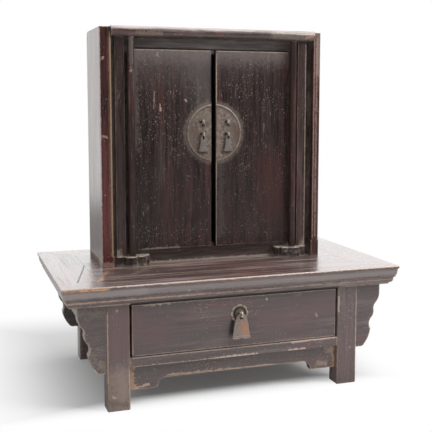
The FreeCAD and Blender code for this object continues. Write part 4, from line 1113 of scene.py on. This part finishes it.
def softened(node):
    """A merged copy of a CAD part, in millimetres, with its corner edges rounded."""
    shape = bmesh.new()
    shape.from_mesh(nodes[node].data)
    bmesh.ops.scale(shape, vec=(1 / MM, 1 / MM, 1 / MM), verts=shape.verts)
    bmesh.ops.remove_doubles(shape, verts=shape.verts, dist=0.001)
    bmesh.ops.dissolve_limit(shape, angle_limit=math.radians(1.0), verts=shape.verts, edges=shape.edges)
    corners = [edge for edge in shape.edges
               if len(edge.link_faces) == 2 and edge.calc_face_angle() > math.radians(CORNER_DEGREES)]
    bmesh.ops.bevel(shape, geom=corners, offset=CAST_ROUNDING, offset_type="OFFSET", segments=2, profile=0.5,
                    affect="EDGES", clamp_overlap=True, material=-1)
    return shape


for node, body, material in (("left_door_pull", "left_pull", PENDANT_BRASS),
                             ("right_door_pull", "right_pull", PENDANT_BRASS),
                             ("drawer_pull", "drawer_handle", PULL_BRASS)):
    new_piece(node + "_cast", softened(node), body, material, node, CORNER_DEGREES)

# %% [markdown]
# ## The floor
# The photograph was taken on white, with a soft shadow to the left. The floor is a pale disc that keeps the
# shadow, and what only the camera sees beyond it is white. Towards its rim the floor itself turns white for
# the camera, so it has no edge.

# %% Floor
WHITE = (1.0, 1.0, 1.0)
FLOOR_RADIUS = 2.4
FLOOR_SHADE = (0.70, 0.70, 0.70)
FLOOR_ROUGHNESS = 0.9
SHADOW_LIFT_NEAR, SHADOW_LIFT_FAR = 0.05, 0.3
# Along each axis: where the floor starts to turn white and where it is white, in metres.
FLOOR_FADES = (("Y", -0.07, -0.15), ("Y", 0.18, 0.48), ("X", -0.12, -0.46), ("X", 0.15, 0.32))


def make_floor_material():
    """Pale and matt near the object. Further out the camera sees plain white."""
    material, w, shader, here = start_material("white floor")
    w.fill(shader, {"Base Color": FLOOR_SHADE, "Roughness": FLOOR_ROUGHNESS, "Specular IOR Level": 0.0})
    camera_ray = w.add("LightPath").outputs["Is Camera Ray"]
    white = w.add("Emission", {"Color": WHITE, "Strength": 1.0})
    at = w.parts(here)
    distance = w.add("VectorMath", {0: here}, operation="LENGTH").outputs["Value"]
    fade = w.step(distance, 0.14, 0.36, SHADOW_LIFT_NEAR, SHADOW_LIFT_FAR)
    for axis, start, end in FLOOR_FADES:
        away = w.times(at[axis], math.copysign(1.0, end))
        fade = w.larger(fade, w.step(away, abs(start), abs(end)))
    both = w.add("MixShader", {0: w.times(fade, camera_ray), 1: shader.outputs[0], 2: white.outputs[0]})
    w.put(both.outputs[0], material.node_tree.nodes["Material Output"].inputs["Surface"])
    return material


floor_mesh = bpy.data.meshes.new("floor")
floor_shape = bmesh.new()
bmesh.ops.create_circle(floor_shape, cap_ends=True, radius=FLOOR_RADIUS, segments=96)
floor_shape.to_mesh(floor_mesh)
floor_shape.free()
floor_mesh.materials.append(make_floor_material())
floor = bpy.data.objects.new("floor", floor_mesh)
scene.collection.objects.link(floor)
print(f"floor: radius {FLOOR_RADIUS} m")

# %% [markdown]
# ## Three lights
# One large lamp stands to the right and throws the soft shadow to the left, a larger one hangs above, and a
# weak one fills the left side.

# %% Lights
# Name, place, the point it aims at, its size in metres and its power in watts.
LIGHTS = (("key light", (1.3, -1.1, 1.6), (0.0, 0.0, 0.25), 0.8, 34.0),
          ("top light", (0.3, -0.2, 2.0), (0.0, 0.0, 0.2), 1.4, 24.0),
          ("fill light", (-1.6, -1.2, 1.2), (0.0, 0.0, 0.2), 1.4, 6.0))

for name, stands_at, aims_at, size, power in LIGHTS:
    data = bpy.data.lights.new(name, "AREA")
    data.size = size
    data.energy = power
    light = bpy.data.objects.new(name, data)
    light.location = stands_at
    light.rotation_euler = (Vector(aims_at) - Vector(stands_at)).to_track_quat("-Z", "Y").to_euler()
    scene.collection.objects.link(light)
    print(f"{name}: {power} W")

# %% [markdown]
# ## The surroundings
# Shiny lacquer shows its surroundings, so the world is bright behind the cabinet and dim in front of it, as
# in a studio with a lit background. Matt surfaces get an even soft light, and the camera sees white.

# %% World
SKY_DIFFUSE = 0.4
SKY_BEHIND = 1.8
SKY_IN_FRONT = 0.12
SKY_ABOVE = 1.1


def make_world():
    world = bpy.data.worlds.new("studio")
    world.use_nodes = True
    scene.world = world
    w = Wiring(world.node_tree)
    direction = w.parts(w.add("TexCoord").outputs["Generated"])
    path = w.add("LightPath").outputs
    behind = w.step(direction["Y"], -0.2, 0.5, SKY_IN_FRONT, SKY_BEHIND)
    shiny = w.larger(behind, w.step(direction["Z"], 0.35, 0.9, 0.0, SKY_ABOVE))
    strength = w.lerp(path["Is Glossy Ray"], SKY_DIFFUSE, shiny)
    seen = w.larger(path["Is Camera Ray"], path["Is Transmission Ray"])
    w.fill(world.node_tree.nodes["Background"], {"Strength": w.lerp(seen, strength, 1.0), "Color": WHITE})
    print("world:", len(world.node_tree.nodes), "nodes")


make_world()
